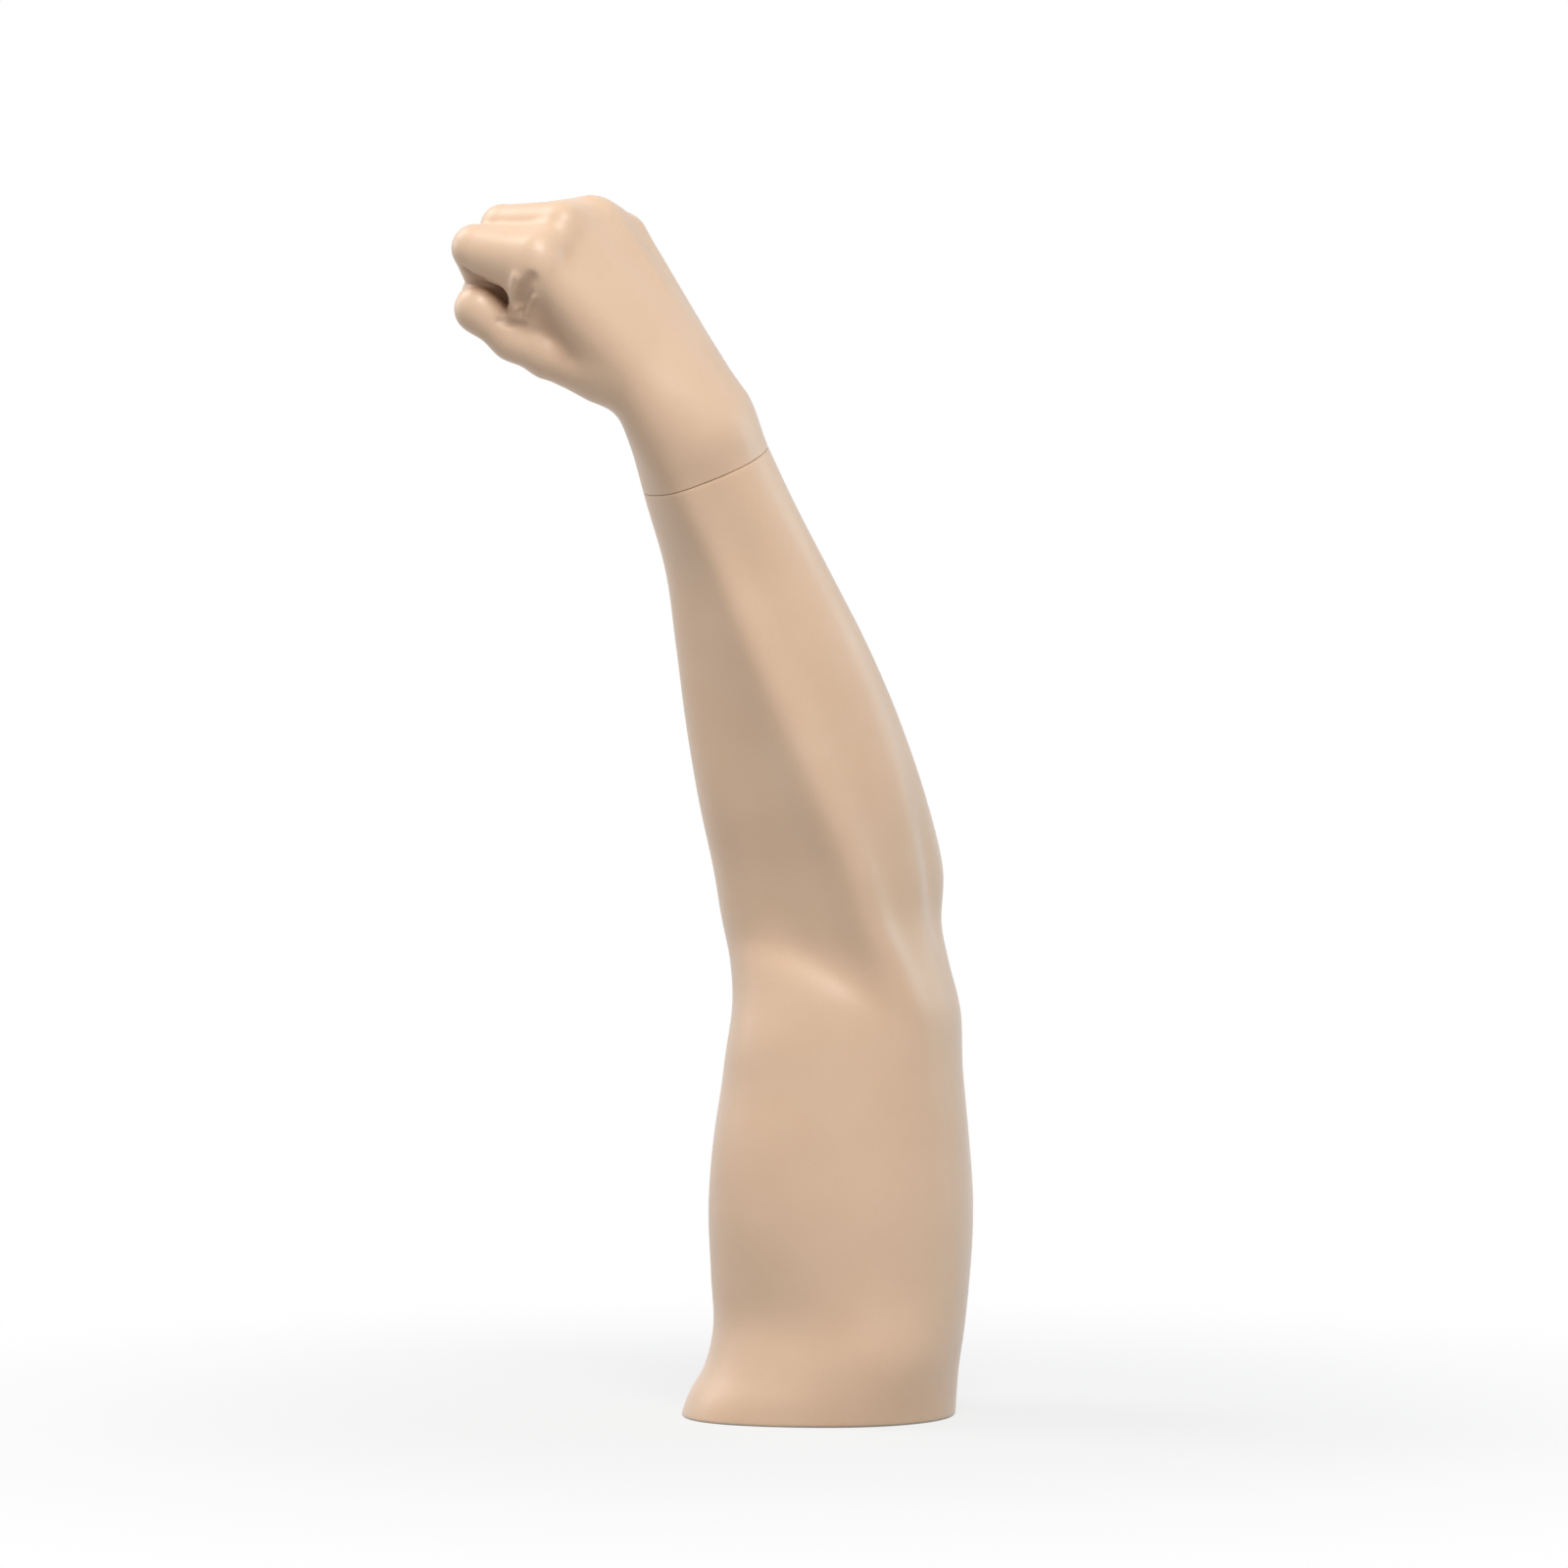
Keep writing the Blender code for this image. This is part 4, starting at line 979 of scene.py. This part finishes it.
def screw_tree():
    """Geometry nodes: countersunk screws with a cross recess and a thread, one at each point."""
    tree = bpy.data.node_groups.new("countersunk_screws", "GeometryNodeTree")

    def times(value, share):
        return sum_up(tree, "MULTIPLY", value, share)

    def at_height(height):
        return put(tree, "ShaderNodeCombineXYZ", {"Z": height}).outputs[0]

    def moved(geometry, place):
        return put(tree, "GeometryNodeTransform", {"Geometry": geometry, "Translation": place}).outputs[0]

    def joined(*parts):
        node = put(tree, "GeometryNodeJoinGeometry")
        for part in parts:
            tree.links.new(part, node.inputs[0])
        return node.outputs[0]

    sockets = {}
    tree.interface.new_socket("Geometry", in_out="OUTPUT", socket_type="NodeSocketGeometry")
    tree.interface.new_socket("Geometry", in_out="INPUT", socket_type="NodeSocketGeometry")
    for label, kind in (("Head Radius", "NodeSocketFloat"), ("Shank Radius", "NodeSocketFloat"),
                        ("Length", "NodeSocketFloat"), ("Pitch", "NodeSocketFloat"),
                        ("Finish", "NodeSocketMaterial")):
        sockets[label] = tree.interface.new_socket(label, in_out="INPUT", socket_type=kind).identifier
    start, ends = tree.nodes.new("NodeGroupInput"), tree.nodes.new("NodeGroupOutput")
    head, shank, length, pitch = (start.outputs[label] for label in
                                  ("Head Radius", "Shank Radius", "Length", "Pitch"))
    # Head: a short rim over a cone, closed by two flat faces, with the cross cut into it
    taper = sum_up(tree, "SUBTRACT", head, shank)
    foot = at_height(sum_up(tree, "SUBTRACT", -HEAD_RIM, taper))
    rim = put(tree, "GeometryNodeMeshCylinder", {
        "Vertices": HEAD_SIDES, "Radius": head, "Depth": HEAD_RIM}, fill_type="NONE")
    cone = put(tree, "GeometryNodeMeshCone", {
        "Vertices": HEAD_SIDES, "Radius Top": head, "Radius Bottom": shank, "Depth": taper},
        fill_type="NONE")
    face = put(tree, "GeometryNodeMeshCircle", {"Vertices": HEAD_SIDES, "Radius": head}, fill_type="NGON")
    under = put(tree, "GeometryNodeMeshCircle", {"Vertices": HEAD_SIDES, "Radius": shank}, fill_type="NGON")
    under = put(tree, "GeometryNodeFlipFaces", {"Mesh": under.outputs["Mesh"]})
    loose = joined(*(moved(part.outputs["Mesh"], place) for part, place in (
        (rim, (0, 0, -HEAD_RIM / 2)), (cone, foot), (face, (0, 0, 0)), (under, foot))))
    closed = put(tree, "GeometryNodeMergeByDistance", {"Geometry": loose, "Distance": 0.00001})
    recessed = put(tree, "GeometryNodeMeshBoolean", {"Mesh 1": closed.outputs[0]},
                   operation="DIFFERENCE", solver="EXACT")
    for long_way in (0, 1):
        size = put(tree, "ShaderNodeCombineXYZ", {
            long_way: times(head, 1.15), 1 - long_way: times(head, 0.24), 2: times(head, 0.9)})
        slot = put(tree, "GeometryNodeMeshCube", {"Size": size.outputs[0]})
        tree.links.new(slot.outputs["Mesh"], recessed.inputs["Mesh 2"])
    # Shank: a core that runs to a point, and the thread as a wire wound around it
    body_long = sum_up(tree, "SUBTRACT", length, taper)
    core = put(tree, "GeometryNodeMeshCone", {
        "Vertices": 24, "Radius Top": times(shank, 0.8), "Radius Bottom": times(shank, 0.12),
        "Depth": body_long})
    thread_long = times(body_long, 0.86)
    spiral = put(tree, "GeometryNodeCurveSpiral", {
        "Resolution": 14, "Rotations": sum_up(tree, "DIVIDE", thread_long, pitch), "Height": thread_long,
        "Start Radius": times(shank, 0.45), "End Radius": times(shank, 0.88)})
    wire = put(tree, "GeometryNodeCurvePrimitiveCircle", {"Resolution": 5, "Radius": times(shank, 0.16)})
    thread = put(tree, "GeometryNodeCurveToMesh", {
        "Curve": spiral.outputs[0], "Profile Curve": wire.outputs["Curve"], "Fill Caps": True})
    screw = joined(recessed.outputs["Mesh"],
                   moved(core.outputs["Mesh"], at_height(times(length, -1.0))),
                   moved(thread.outputs[0], at_height(times(length, -0.96))))
    # One at each point, its head along the point's axis and its recess turned
    axis = put(tree, "GeometryNodeInputNamedAttribute", {"Name": "axis"}, data_type="FLOAT_VECTOR")
    turn = put(tree, "GeometryNodeInputNamedAttribute", {"Name": "turn"}, data_type="FLOAT")
    stand = put(tree, "FunctionNodeAlignRotationToVector", {"Vector": axis.outputs["Attribute"]}, axis="Z")
    about = put(tree, "FunctionNodeAxisAngleToRotation", {
        "Axis": (0, 0, 1), "Angle": turn.outputs["Attribute"]})
    spin = put(tree, "FunctionNodeRotateRotation", {
        "Rotation": stand.outputs[0], "Rotate By": about.outputs[0]}, rotation_space="LOCAL")
    points = put(tree, "GeometryNodeInstanceOnPoints", {
        "Points": start.outputs["Geometry"], "Instance": screw, "Rotation": spin.outputs[0]})
    real = put(tree, "GeometryNodeRealizeInstances", {"Geometry": points.outputs[0]})
    finished = put(tree, "GeometryNodeSetMaterial", {
        "Geometry": real.outputs[0], "Material": start.outputs["Finish"]})
    tree.links.new(finished.outputs[0], ends.inputs[0])
    return tree, sockets


def screws(name, places, kind, length, finish, body, nodes):
    """One mesh of screws of a kind; places are (point, direction of the head, turn of the recess)."""
    mesh = bpy.data.meshes.new(name)
    mesh.from_pydata([tuple(point) for point, _, _ in places], [], [])
    mesh.attributes.new("axis", "FLOAT_VECTOR", "POINT")
    mesh.attributes.new("turn", "FLOAT", "POINT")
    for number, (_, up, angle) in enumerate(places):
        mesh.attributes["axis"].data[number].vector = up
        mesh.attributes["turn"].data[number].value = angle
    made = add_object(name, mesh)
    tree, sockets = screw_tree()
    modifier = made.modifiers.new("screws", "NODES")
    modifier.node_group = tree
    head, shank, pitch = kind
    for label, value in (("Head Radius", head), ("Shank Radius", shank), ("Length", length),
                         ("Pitch", pitch), ("Finish", finish)):
        modifier[sockets[label]] = value
    bake(made)
    if len(made.data.polygons) < 100 * len(places):
        raise RuntimeError(f"{name}: the screws came out empty")
    hand_in(made, body, "zinc_steel", *nodes)


# Places of the fittings
def wrist_frame():
    """Frame at the middle of the seam, with Z along the wrist axis and X to the thumb side."""
    return axis_frame(SEAM, AXIS, HAND_THUMB)


def screw_spot(node):
    """Middle of the head's face of an upright screw with its head down."""
    low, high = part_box(node)
    return Vector(((low.x + high.x) / 2, (low.y + high.y) / 2, low.z))


def bush_screw_frames():
    """Frames in the heads' faces of the bush's screws."""
    return [wrist_frame() @ Matrix.Rotation(math.radians(120 * n + BUSH_SCREW_TURN), 4, "Z")
            @ Matrix.Translation((BUSH_SCREW_CIRCLE, 0, FLANGE_TOP)) for n in range(1, 4)]


def plate_screw_places(sizes):
    """Head, direction and recess turn of the socket plate's screws."""
    wrist = wrist_frame()
    far, wide = sizes.plate_long / 2 - PLATE_SCREW_INSET, sizes.plate_wide / 2 - PLATE_SCREW_INSET
    corners = ((-1, -1), (-1, 1), (1, -1), (1, 1))
    return [(wrist @ Vector((x * far, y * wide, PLATE_LOW)), -Vector(AXIS), 0.3 + 0.9 * k)
            for k, (x, y) in enumerate(corners)]


class ARMSTAND_OT_arm(bpy.types.Operator):
    """Builds the hollow painted arm from the cut end to the wrist seam"""
    bl_idname = "armstand.arm"
    bl_label = "Arm"

    def execute(self, context):
        settings = context.scene.arm_stand
        sizes = settings.arm
        angle = np.linspace(0, 2 * math.pi, sizes.columns, endpoint=False)
        rings, edge = [], []

        def add(points, worn=0.0):
            rings.append(points)
            edge.append(np.full(len(angle), worn))

        level = np.zeros_like(angle)
        add(arm_points(angle, level, sizes.wall), RIM_WEAR)
        add(arm_points(angle, level, sizes.rim_round * 1.3), RIM_WEAR)
        for turn in np.radians((0, 22, 45, 68)):
            add(arm_points(angle, level + sizes.rim_round * (1 - math.cos(turn)),
                           sizes.rim_round * (1 - math.sin(turn))), ROUND_WEAR - ROUND_WEAR_FADE * turn)
        top = height_at_rise(angle, -sizes.seam_round)
        for share in np.linspace(0, 1, sizes.rows):
            height = sizes.rim_round + (top - sizes.rim_round) * share
            add(arm_points(angle, height))
        for turn in np.radians((45, 90)):
            add(wrist_ring(angle, -sizes.seam_round * (1 - math.sin(turn)),
                           sizes.seam_round * (1 - math.cos(turn))), SEAM_WEAR)
        add(wrist_ring(angle, 0.0, sizes.wall), SEAM_WEAR)
        inner = height_at_rise(angle, -INNER_STEP, sizes.wall)
        for share in np.linspace(1, 0, INNER_ROWS):
            add(arm_points(angle, INNER_STEP + (inner - INNER_STEP) * share, sizes.wall))
        piece = piece_from("arm_skin", np.concatenate(rings),
                           ring_faces(len(rings), len(angle), closed=True), np.concatenate(edge))
        paint(piece, skin_paint(settings.finish))
        hand_in(piece, "arm", "skin_paint", "arm_shell")
        return {"FINISHED"}


class ARMSTAND_OT_fist(bpy.types.Operator):
    """Builds the painted fist with its socket at the wrist seam"""
    bl_idname = "armstand.fist"
    bl_label = "Fist"

    def execute(self, context):
        settings = context.scene.arm_stand
        sizes = settings.fist
        wall, edge_round = settings.arm.wall, settings.arm.seam_round
        low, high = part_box("hand_shell")
        spare = 0.012
        points, faces = skin_net(fist_form, np.array(low) - spare, np.array(high) + spare, sizes.cell)
        points = settle_on(fist_form, points)
        bm = bmesh.new()
        mesh = bpy.data.meshes.new("fist_skin")
        mesh.from_pydata(points.tolist(), [], faces.tolist())
        bm.from_mesh(mesh)
        bmesh.ops.bisect_plane(bm, geom=bm.verts[:] + bm.edges[:] + bm.faces[:], dist=1e-6,
                               plane_co=Vector(SEAM + AXIS * (sizes.seam_gap + edge_round)),
                               plane_no=Vector(AXIS), clear_inner=True)
        rim = [edge for edge in bm.edges if edge.is_boundary]
        if not rim:
            raise RuntimeError("the fist has no rim at the seam")
        loop = [rim[0].verts[0], rim[0].verts[1]]
        while len(loop) < len(rim):
            onward = [edge.other_vert(loop[-1]) for edge in loop[-1].link_edges if edge.is_boundary]
            loop.append(next(vert for vert in onward if vert is not loop[-2]))
        at = np.array([vert.co for vert in loop])
        across, deep, _ = arm_section(np.zeros(len(at)), at[:, 2])
        angle = np.arctan2(-(at[:, 1] - deep), at[:, 0] - across)
        flat = at - SEAM - np.outer((at - SEAM) @ AXIS, AXIS)
        inward = -flat / np.linalg.norm(flat, axis=1)[:, None]
        rings = []
        for turn in np.radians((30, 60, 90)):
            rings.append(at + inward * edge_round * (1 - math.cos(turn))
                         - AXIS * edge_round * math.sin(turn))
        rings += [wrist_ring(angle, rise, wall) for rise in
                  (sizes.seam_gap, sizes.seam_gap + INNER_STEP, 0.006, 0.014, sizes.socket_depth)]
        before = loop
        for ring in rings:
            after = [bm.verts.new(point) for point in ring]
            for k in range(len(loop)):
                n = (k + 1) % len(loop)
                bm.faces.new((before[n], before[k], after[k], after[n]))
            before = after
        bm.faces.new(before)
        bmesh.ops.recalc_face_normals(bm, faces=bm.faces[:])
        bm.verts.index_update()
        points = np.array([vert.co for vert in bm.verts])
        faces = [[vert.index for vert in face.verts] for face in bm.faces]
        bm.free()
        from_seam = np.abs((points - SEAM) @ AXIS - sizes.seam_gap)
        worn = np.exp(-from_seam / SEAM_WEAR_REACH) * SEAM_WEAR
        # The tint attribute gets the painted shade of the creases and the slit; the edge attribute gets the
        # rubbed paint at the seam
        piece = piece_from("fist_skin", points, faces, worn, painted_crease_shade(points), sharp=50)
        bpy.data.meshes.remove(mesh)
        paint(piece, skin_paint(settings.finish))
        hand_in(piece, "hand", "skin_paint", "hand_shell")
        return {"FINISHED"}


class ARMSTAND_OT_base(bpy.types.Operator):
    """Builds the closing board and dresses the cleats and the ballast"""
    bl_idname = "armstand.base"
    bl_label = "Base"

    def execute(self, context):
        settings = context.scene.arm_stand
        sizes, finish = settings.fitting, settings.finish
        angle = np.linspace(0, 2 * math.pi, BOARD_COLUMNS, endpoint=False)
        inset, thick = settings.arm.wall + sizes.fit_gap, sizes.board_thick
        rings = [arm_points(angle, np.full_like(angle, height), inset + more) for height, more in
                 ((0.0, BOARD_EASE), (BOARD_EASE, 0.0), (thick - BOARD_EASE, 0.0), (thick, BOARD_EASE))]
        board = piece_from("closing_board", np.concatenate(rings), capped_faces(len(rings), len(angle)))
        holes = []
        for node in BOARD_SCREWS:
            down = axis_frame(screw_spot(node), (0, 0, -1), (1, 0, 0))
            holes.append(screw_hole(down, *WOOD_HOLE))
        cut_out(board, holes)
        paint(board, plywood(finish, "plywood_board"))
        hand_in(board, "arm", "plywood", "base_board")
        for number in range(1, 5):
            paint(frame["nodes"][f"cleat_{number}"], plywood(finish, "plywood_board"))
        paint(frame["nodes"]["ballast"], cast_iron(finish))
        return {"FINISHED"}


class ARMSTAND_OT_swivel(bpy.types.Operator):
    """Paints the wrist plug and builds the brass bush, the spigot that turns in it, its washer and its nut
    """
    bl_idname = "armstand.swivel"
    bl_label = "Wrist swivel"

    def execute(self, context):
        settings = context.scene.arm_stand
        sizes, finish = settings.fitting, settings.finish
        wrist = wrist_frame()
        bore = sizes.shaft_radius + RUN_GAP
        zinc = turned_metal("zinc_turned", finish.zinc, *ZINC_ROUGH)
        paint(frame["nodes"]["wrist_plug"], plywood(finish, "plywood_wrist", wrist.to_euler()))
        self.bush(sizes, finish, wrist, bore)
        self.spigot(sizes, zinc, wrist)
        self.washer(zinc, wrist, bore)
        self.nut(zinc, wrist, bore)
        return {"FINISHED"}

    def bush(self, sizes, finish, wrist, bore):
        """Flanged bush with its three screw holes."""
        barrel, flange = sizes.barrel_radius, sizes.flange_radius
        bush = tube("bush", [
            (bore, BUSH_LOW + EASE), (bore + EASE, BUSH_LOW), (barrel - EASE, BUSH_LOW),
            (barrel, BUSH_LOW + EASE), (barrel, FLANGE_LOW), (flange - EASE, FLANGE_LOW),
            (flange, FLANGE_LOW + EASE), (flange, FLANGE_TOP - 2 * EASE), (flange - 2 * EASE, FLANGE_TOP),
            (bore + EASE, FLANGE_TOP), (bore, FLANGE_TOP - EASE)], wrist, sides=96)
        cut_out(bush, [screw_hole(head, *SMALL_HOLE) for head in bush_screw_frames()])
        paint(bush, turned_metal("bush_brass_turned", finish.brass, *BRASS_ROUGH))
        hand_in(bush, "arm", "bush_brass", "wrist_bush")

    def spigot(self, sizes, zinc, wrist):
        """Shaft with its collar, and the square peg with its crown."""
        shaft, collar, side = sizes.shaft_radius, sizes.collar_radius, sizes.peg_side / 2
        top = COLLAR_TOP + sizes.peg_tall
        turned = lathe("shaft", [
            (shaft - SHAFT_CHAMFER, SHAFT_LOW), (shaft, SHAFT_LOW + SHAFT_CHAMFER), (shaft, COLLAR_LOW),
            (collar - EASE, COLLAR_LOW), (collar, COLLAR_LOW + EASE), (collar, COLLAR_TOP - EASE),
            (collar - EASE, COLLAR_TOP)], wrist, sides=96)
        square = rounded_bar("peg", side, side, COLLAR_TOP - PEG_SINK, top - CROWN_RISE,
                             PEG_CORNER, PEG_EDGE, wrist)
        crown = rounded_bar("crown", side - CROWN_INSET, side - CROWN_INSET, top - CROWN_TALL, top,
                            PEG_CORNER, CROWN_EDGE, wrist)
        spigot = join("spigot", [turned, square, crown])
        paint(spigot, zinc)
        hand_in(spigot, "wrist_swivel", "zinc_steel", "wrist_spigot")

    def washer(self, zinc, wrist, bore):
        """Friction washer under the bush."""
        outer, ease = WASHER_RADIUS, WASHER_EASE
        washer = tube("friction_washer", [
            (bore, WASHER_LOW + ease), (bore + ease, WASHER_LOW), (outer - ease, WASHER_LOW),
            (outer, WASHER_LOW + ease), (outer, WASHER_TOP - ease), (outer - ease, WASHER_TOP),
            (bore + ease, WASHER_TOP), (bore, WASHER_TOP - ease)], wrist)
        paint(washer, zinc)
        hand_in(washer, "wrist_swivel", "zinc_steel", "swivel_washer")

    def nut(self, zinc, wrist, bore):
        """Six-sided lock nut under the washer."""
        corner = NUT_FLATS / math.sqrt(3)
        nut = lathe("lock_nut", [
            (corner - NUT_CHAMFER, NUT_LOW), (corner, NUT_LOW + NUT_CHAMFER_TALL),
            (corner, NUT_TOP - NUT_CHAMFER_TALL), (corner - NUT_CHAMFER, NUT_TOP)],
            wrist, sides=6, sharp=20)
        cut_out(nut, [lathe("bore", [(bore, NUT_LOW - CUT_PAST), (bore, NUT_TOP + CUT_PAST)],
                            wrist, sides=48)])
        paint(nut, zinc)
        hand_in(nut, "wrist_swivel", "zinc_steel", "swivel_nut")


class ARMSTAND_OT_socket(bpy.types.Operator):
    """Builds the socket plate in the hand and dresses its block and magnet"""
    bl_idname = "armstand.socket"
    bl_label = "Hand socket"

    def execute(self, context):
        settings = context.scene.arm_stand
        sizes, finish = settings.fitting, settings.finish
        wrist = wrist_frame()
        zinc = turned_metal("zinc_turned", finish.zinc, *ZINC_ROUGH)
        paint(frame["nodes"]["hand_block"], plywood(finish, "plywood_wrist", wrist.to_euler()))
        paint(frame["nodes"]["magnet"], zinc)
        plate = rounded_bar("socket_plate_bevelled", sizes.plate_long / 2, sizes.plate_wide / 2,
                            PLATE_LOW, PLATE_TOP, PLATE_CORNER, PLATE_EDGE, wrist)
        side = sizes.peg_side / 2 + RUN_GAP
        cutters = [rounded_bar("hole", side, side, PLATE_LOW - CUT_PAST, PLATE_TOP + CUT_PAST,
                               PLATE_HOLE_CORNER, PLATE_EDGE, wrist)]
        for point, up, _ in plate_screw_places(sizes):
            cutters.append(screw_hole(axis_frame(point, up, HAND_THUMB), *SMALL_HOLE))
        cut_out(plate, cutters)
        paint(plate, zinc)
        hand_in(plate, "hand", "zinc_steel", "socket_plate")
        return {"FINISHED"}


class ARMSTAND_OT_screws(bpy.types.Operator):
    """Builds the countersunk screws of the base, the bush and the socket plate"""
    bl_idname = "armstand.screws"
    bl_label = "Screws"

    def execute(self, context):
        settings = context.scene.arm_stand
        sizes, finish = settings.fitting, settings.finish
        zinc = turned_metal("zinc_screws", finish.zinc, *SCREW_ROUGH)
        places = [(screw_spot(node), Vector((0, 0, -1)), 0.4 + 1.1 * k)
                  for k, node in enumerate(BOARD_SCREWS)]
        screws("board_screws", places, WOOD_SCREW, sizes.wood_screw, zinc, "arm", BOARD_SCREWS)
        places = [(head.translation, Vector(AXIS), 0.8 * n)
                  for n, head in enumerate(bush_screw_frames(), start=1)]
        screws("bush_screws", places, SMALL_SCREW, sizes.small_screw, zinc, "arm",
               [f"bush_screw_{n}" for n in range(1, 4)])
        screws("plate_screws", plate_screw_places(sizes), SMALL_SCREW, sizes.small_screw, zinc, "hand",
               [f"plate_screw_{n}" for n in range(1, 5)])
        return {"FINISHED"}


def background_rays(tree):
    """1 for rays of the camera, of reflections and through glass, which see the plain white background."""
    rays = put(tree, "ShaderNodeLightPath")
    return sum_up(tree, "MAXIMUM", rays.outputs["Is Camera Ray"],
                  sum_up(tree, "MAXIMUM", rays.outputs["Is Glossy Ray"],
                         rays.outputs["Is Transmission Ray"]))


class ARMSTAND_OT_stage(bpy.types.Operator):
    """Sets up the pale floor, the soft light and the camera"""
    bl_idname = "armstand.stage"
    bl_label = "Stage"

    def execute(self, context):
        scene = context.scene
        values = scene.arm_stand.stage
        scene.view_settings.view_transform = "Standard"
        self.floor(values)
        scene.world = self.room(values)
        self.lamp("front", (0.22, -1.25, 1.54), values.front_power)
        self.lamp("right", (1.63, 0.60, 0.74), values.right_power, values.right_tint)
        self.lamp("left", (-1.14, 0.20, 1.65), values.left_power)
        self.lamp("low", (-1.59, 0.58, 0.89), values.low_power)
        camera = bpy.data.cameras.new("camera")
        camera.sensor_width = 36.0
        camera.lens = values.lens
        eye = add_object("camera", camera)
        eye.location = values.camera
        eye.rotation_euler = (math.pi / 2, 0, 0)
        scene.camera = eye
        return {"FINISHED"}

    def floor(self, values):
        """Adds a floor that shows plain white, and near the stand some of its shadow."""
        corners = [(x * FLOOR_HALF, y * FLOOR_HALF, 0) for x, y in ((-1, -1), (1, -1), (1, 1), (-1, 1))]
        floor = piece_from("floor", corners, [(0, 1, 2, 3)])
        material, tree, shader = new_material("pale_floor", roughness=0.9)
        shader.inputs["Base Color"].default_value = solid(values.floor)
        white = put(tree, "ShaderNodeEmission", {"Color": (1, 1, 1, 1), "Strength": 1.0})
        where = put(tree, "ShaderNodeTexCoord").outputs["Object"]
        away = put(tree, "ShaderNodeVectorMath", {0: where}, operation="LENGTH").outputs["Value"]
        plain = put(tree, "ShaderNodeMapRange", {
            "Value": away, "From Min": WHITE_NEAR, "From Max": WHITE_FAR, "To Min": WHITE_LEAST},
            interpolation_type="SMOOTHSTEP").outputs["Result"]
        share = sum_up(tree, "MULTIPLY", background_rays(tree), plain)
        both = put(tree, "ShaderNodeMixShader", {0: share, 1: shader.outputs[0], 2: white.outputs[0]})
        tree.links.new(both.outputs[0], tree.nodes["Material Output"].inputs["Surface"])
        paint(floor, material)

    def room(self, values):
        """Makes the surround: dim on the object, and white where it is seen."""
        world = bpy.data.worlds.new("pale_room")
        world.use_nodes = True
        tree = world.node_tree
        dim = tree.nodes["Background"]
        dim.inputs["Color"].default_value = (1, 1, 1, 1)
        dim.inputs["Strength"].default_value = values.surround
        white = put(tree, "ShaderNodeBackground", {"Color": (1, 1, 1, 1), "Strength": 1.0})
        both = put(tree, "ShaderNodeMixShader", {0: background_rays(tree), 1: dim.outputs[0],
                                                 2: white.outputs[0]})
        tree.links.new(both.outputs[0], tree.nodes["World Output"].inputs["Surface"])
        return world

    def lamp(self, name, place, power, tint=(1, 1, 1)):
        """Adds a round soft lamp that faces the middle of the stand."""
        light = bpy.data.lights.new(name, "AREA")
        light.shape = "DISK"
        light.size = LAMP_SIZE
        light.energy = power
        light.color = tint
        made = add_object(name, light)
        made.location = place
        made.visible_camera = False
        made.rotation_euler = (Vector(LAMP_AIM) - Vector(place)).to_track_quat("-Z", "Y").to_euler()


class ARMSTAND_PT_panel(bpy.types.Panel):
    """Lists the stand's settings and the operators that build it"""
    bl_label = "Arm stand"
    bl_idname = "ARMSTAND_PT_panel"
    bl_space_type = "VIEW_3D"
    bl_region_type = "UI"
    bl_category = "Arm stand"

    def draw(self, context):
        settings = context.scene.arm_stand
        for part in ("arm", "fist", "fitting", "finish", "stage"):
            box = self.layout.box()
            group = getattr(settings, part)
            box.label(text=part.capitalize())
            for name in group.__annotations__:
                box.prop(group, name)
        for operator in OPERATORS:
            self.layout.operator(operator.bl_idname)


OPERATORS = (ARMSTAND_OT_arm, ARMSTAND_OT_fist, ARMSTAND_OT_base, ARMSTAND_OT_swivel, ARMSTAND_OT_socket,
             ARMSTAND_OT_screws, ARMSTAND_OT_stage)
CLASSES = (ArmSizes, FistSizes, FittingSizes, Finishes, StageValues, ArmStand, *OPERATORS,
           ARMSTAND_PT_panel)


def register():
    for item in CLASSES:
        bpy.utils.register_class(item)
    bpy.types.Scene.arm_stand = PointerProperty(type=ArmStand)


def unregister():
    del bpy.types.Scene.arm_stand
    for item in reversed(CLASSES):
        bpy.utils.unregister_class(item)


def main():
    register()
    bpy.ops.armstand.arm()
    bpy.ops.armstand.fist()
    bpy.ops.armstand.base()
    bpy.ops.armstand.swivel()
    bpy.ops.armstand.socket()
    bpy.ops.armstand.screws()
    bpy.ops.armstand.stage()


if __name__ == "__main__":
    main()
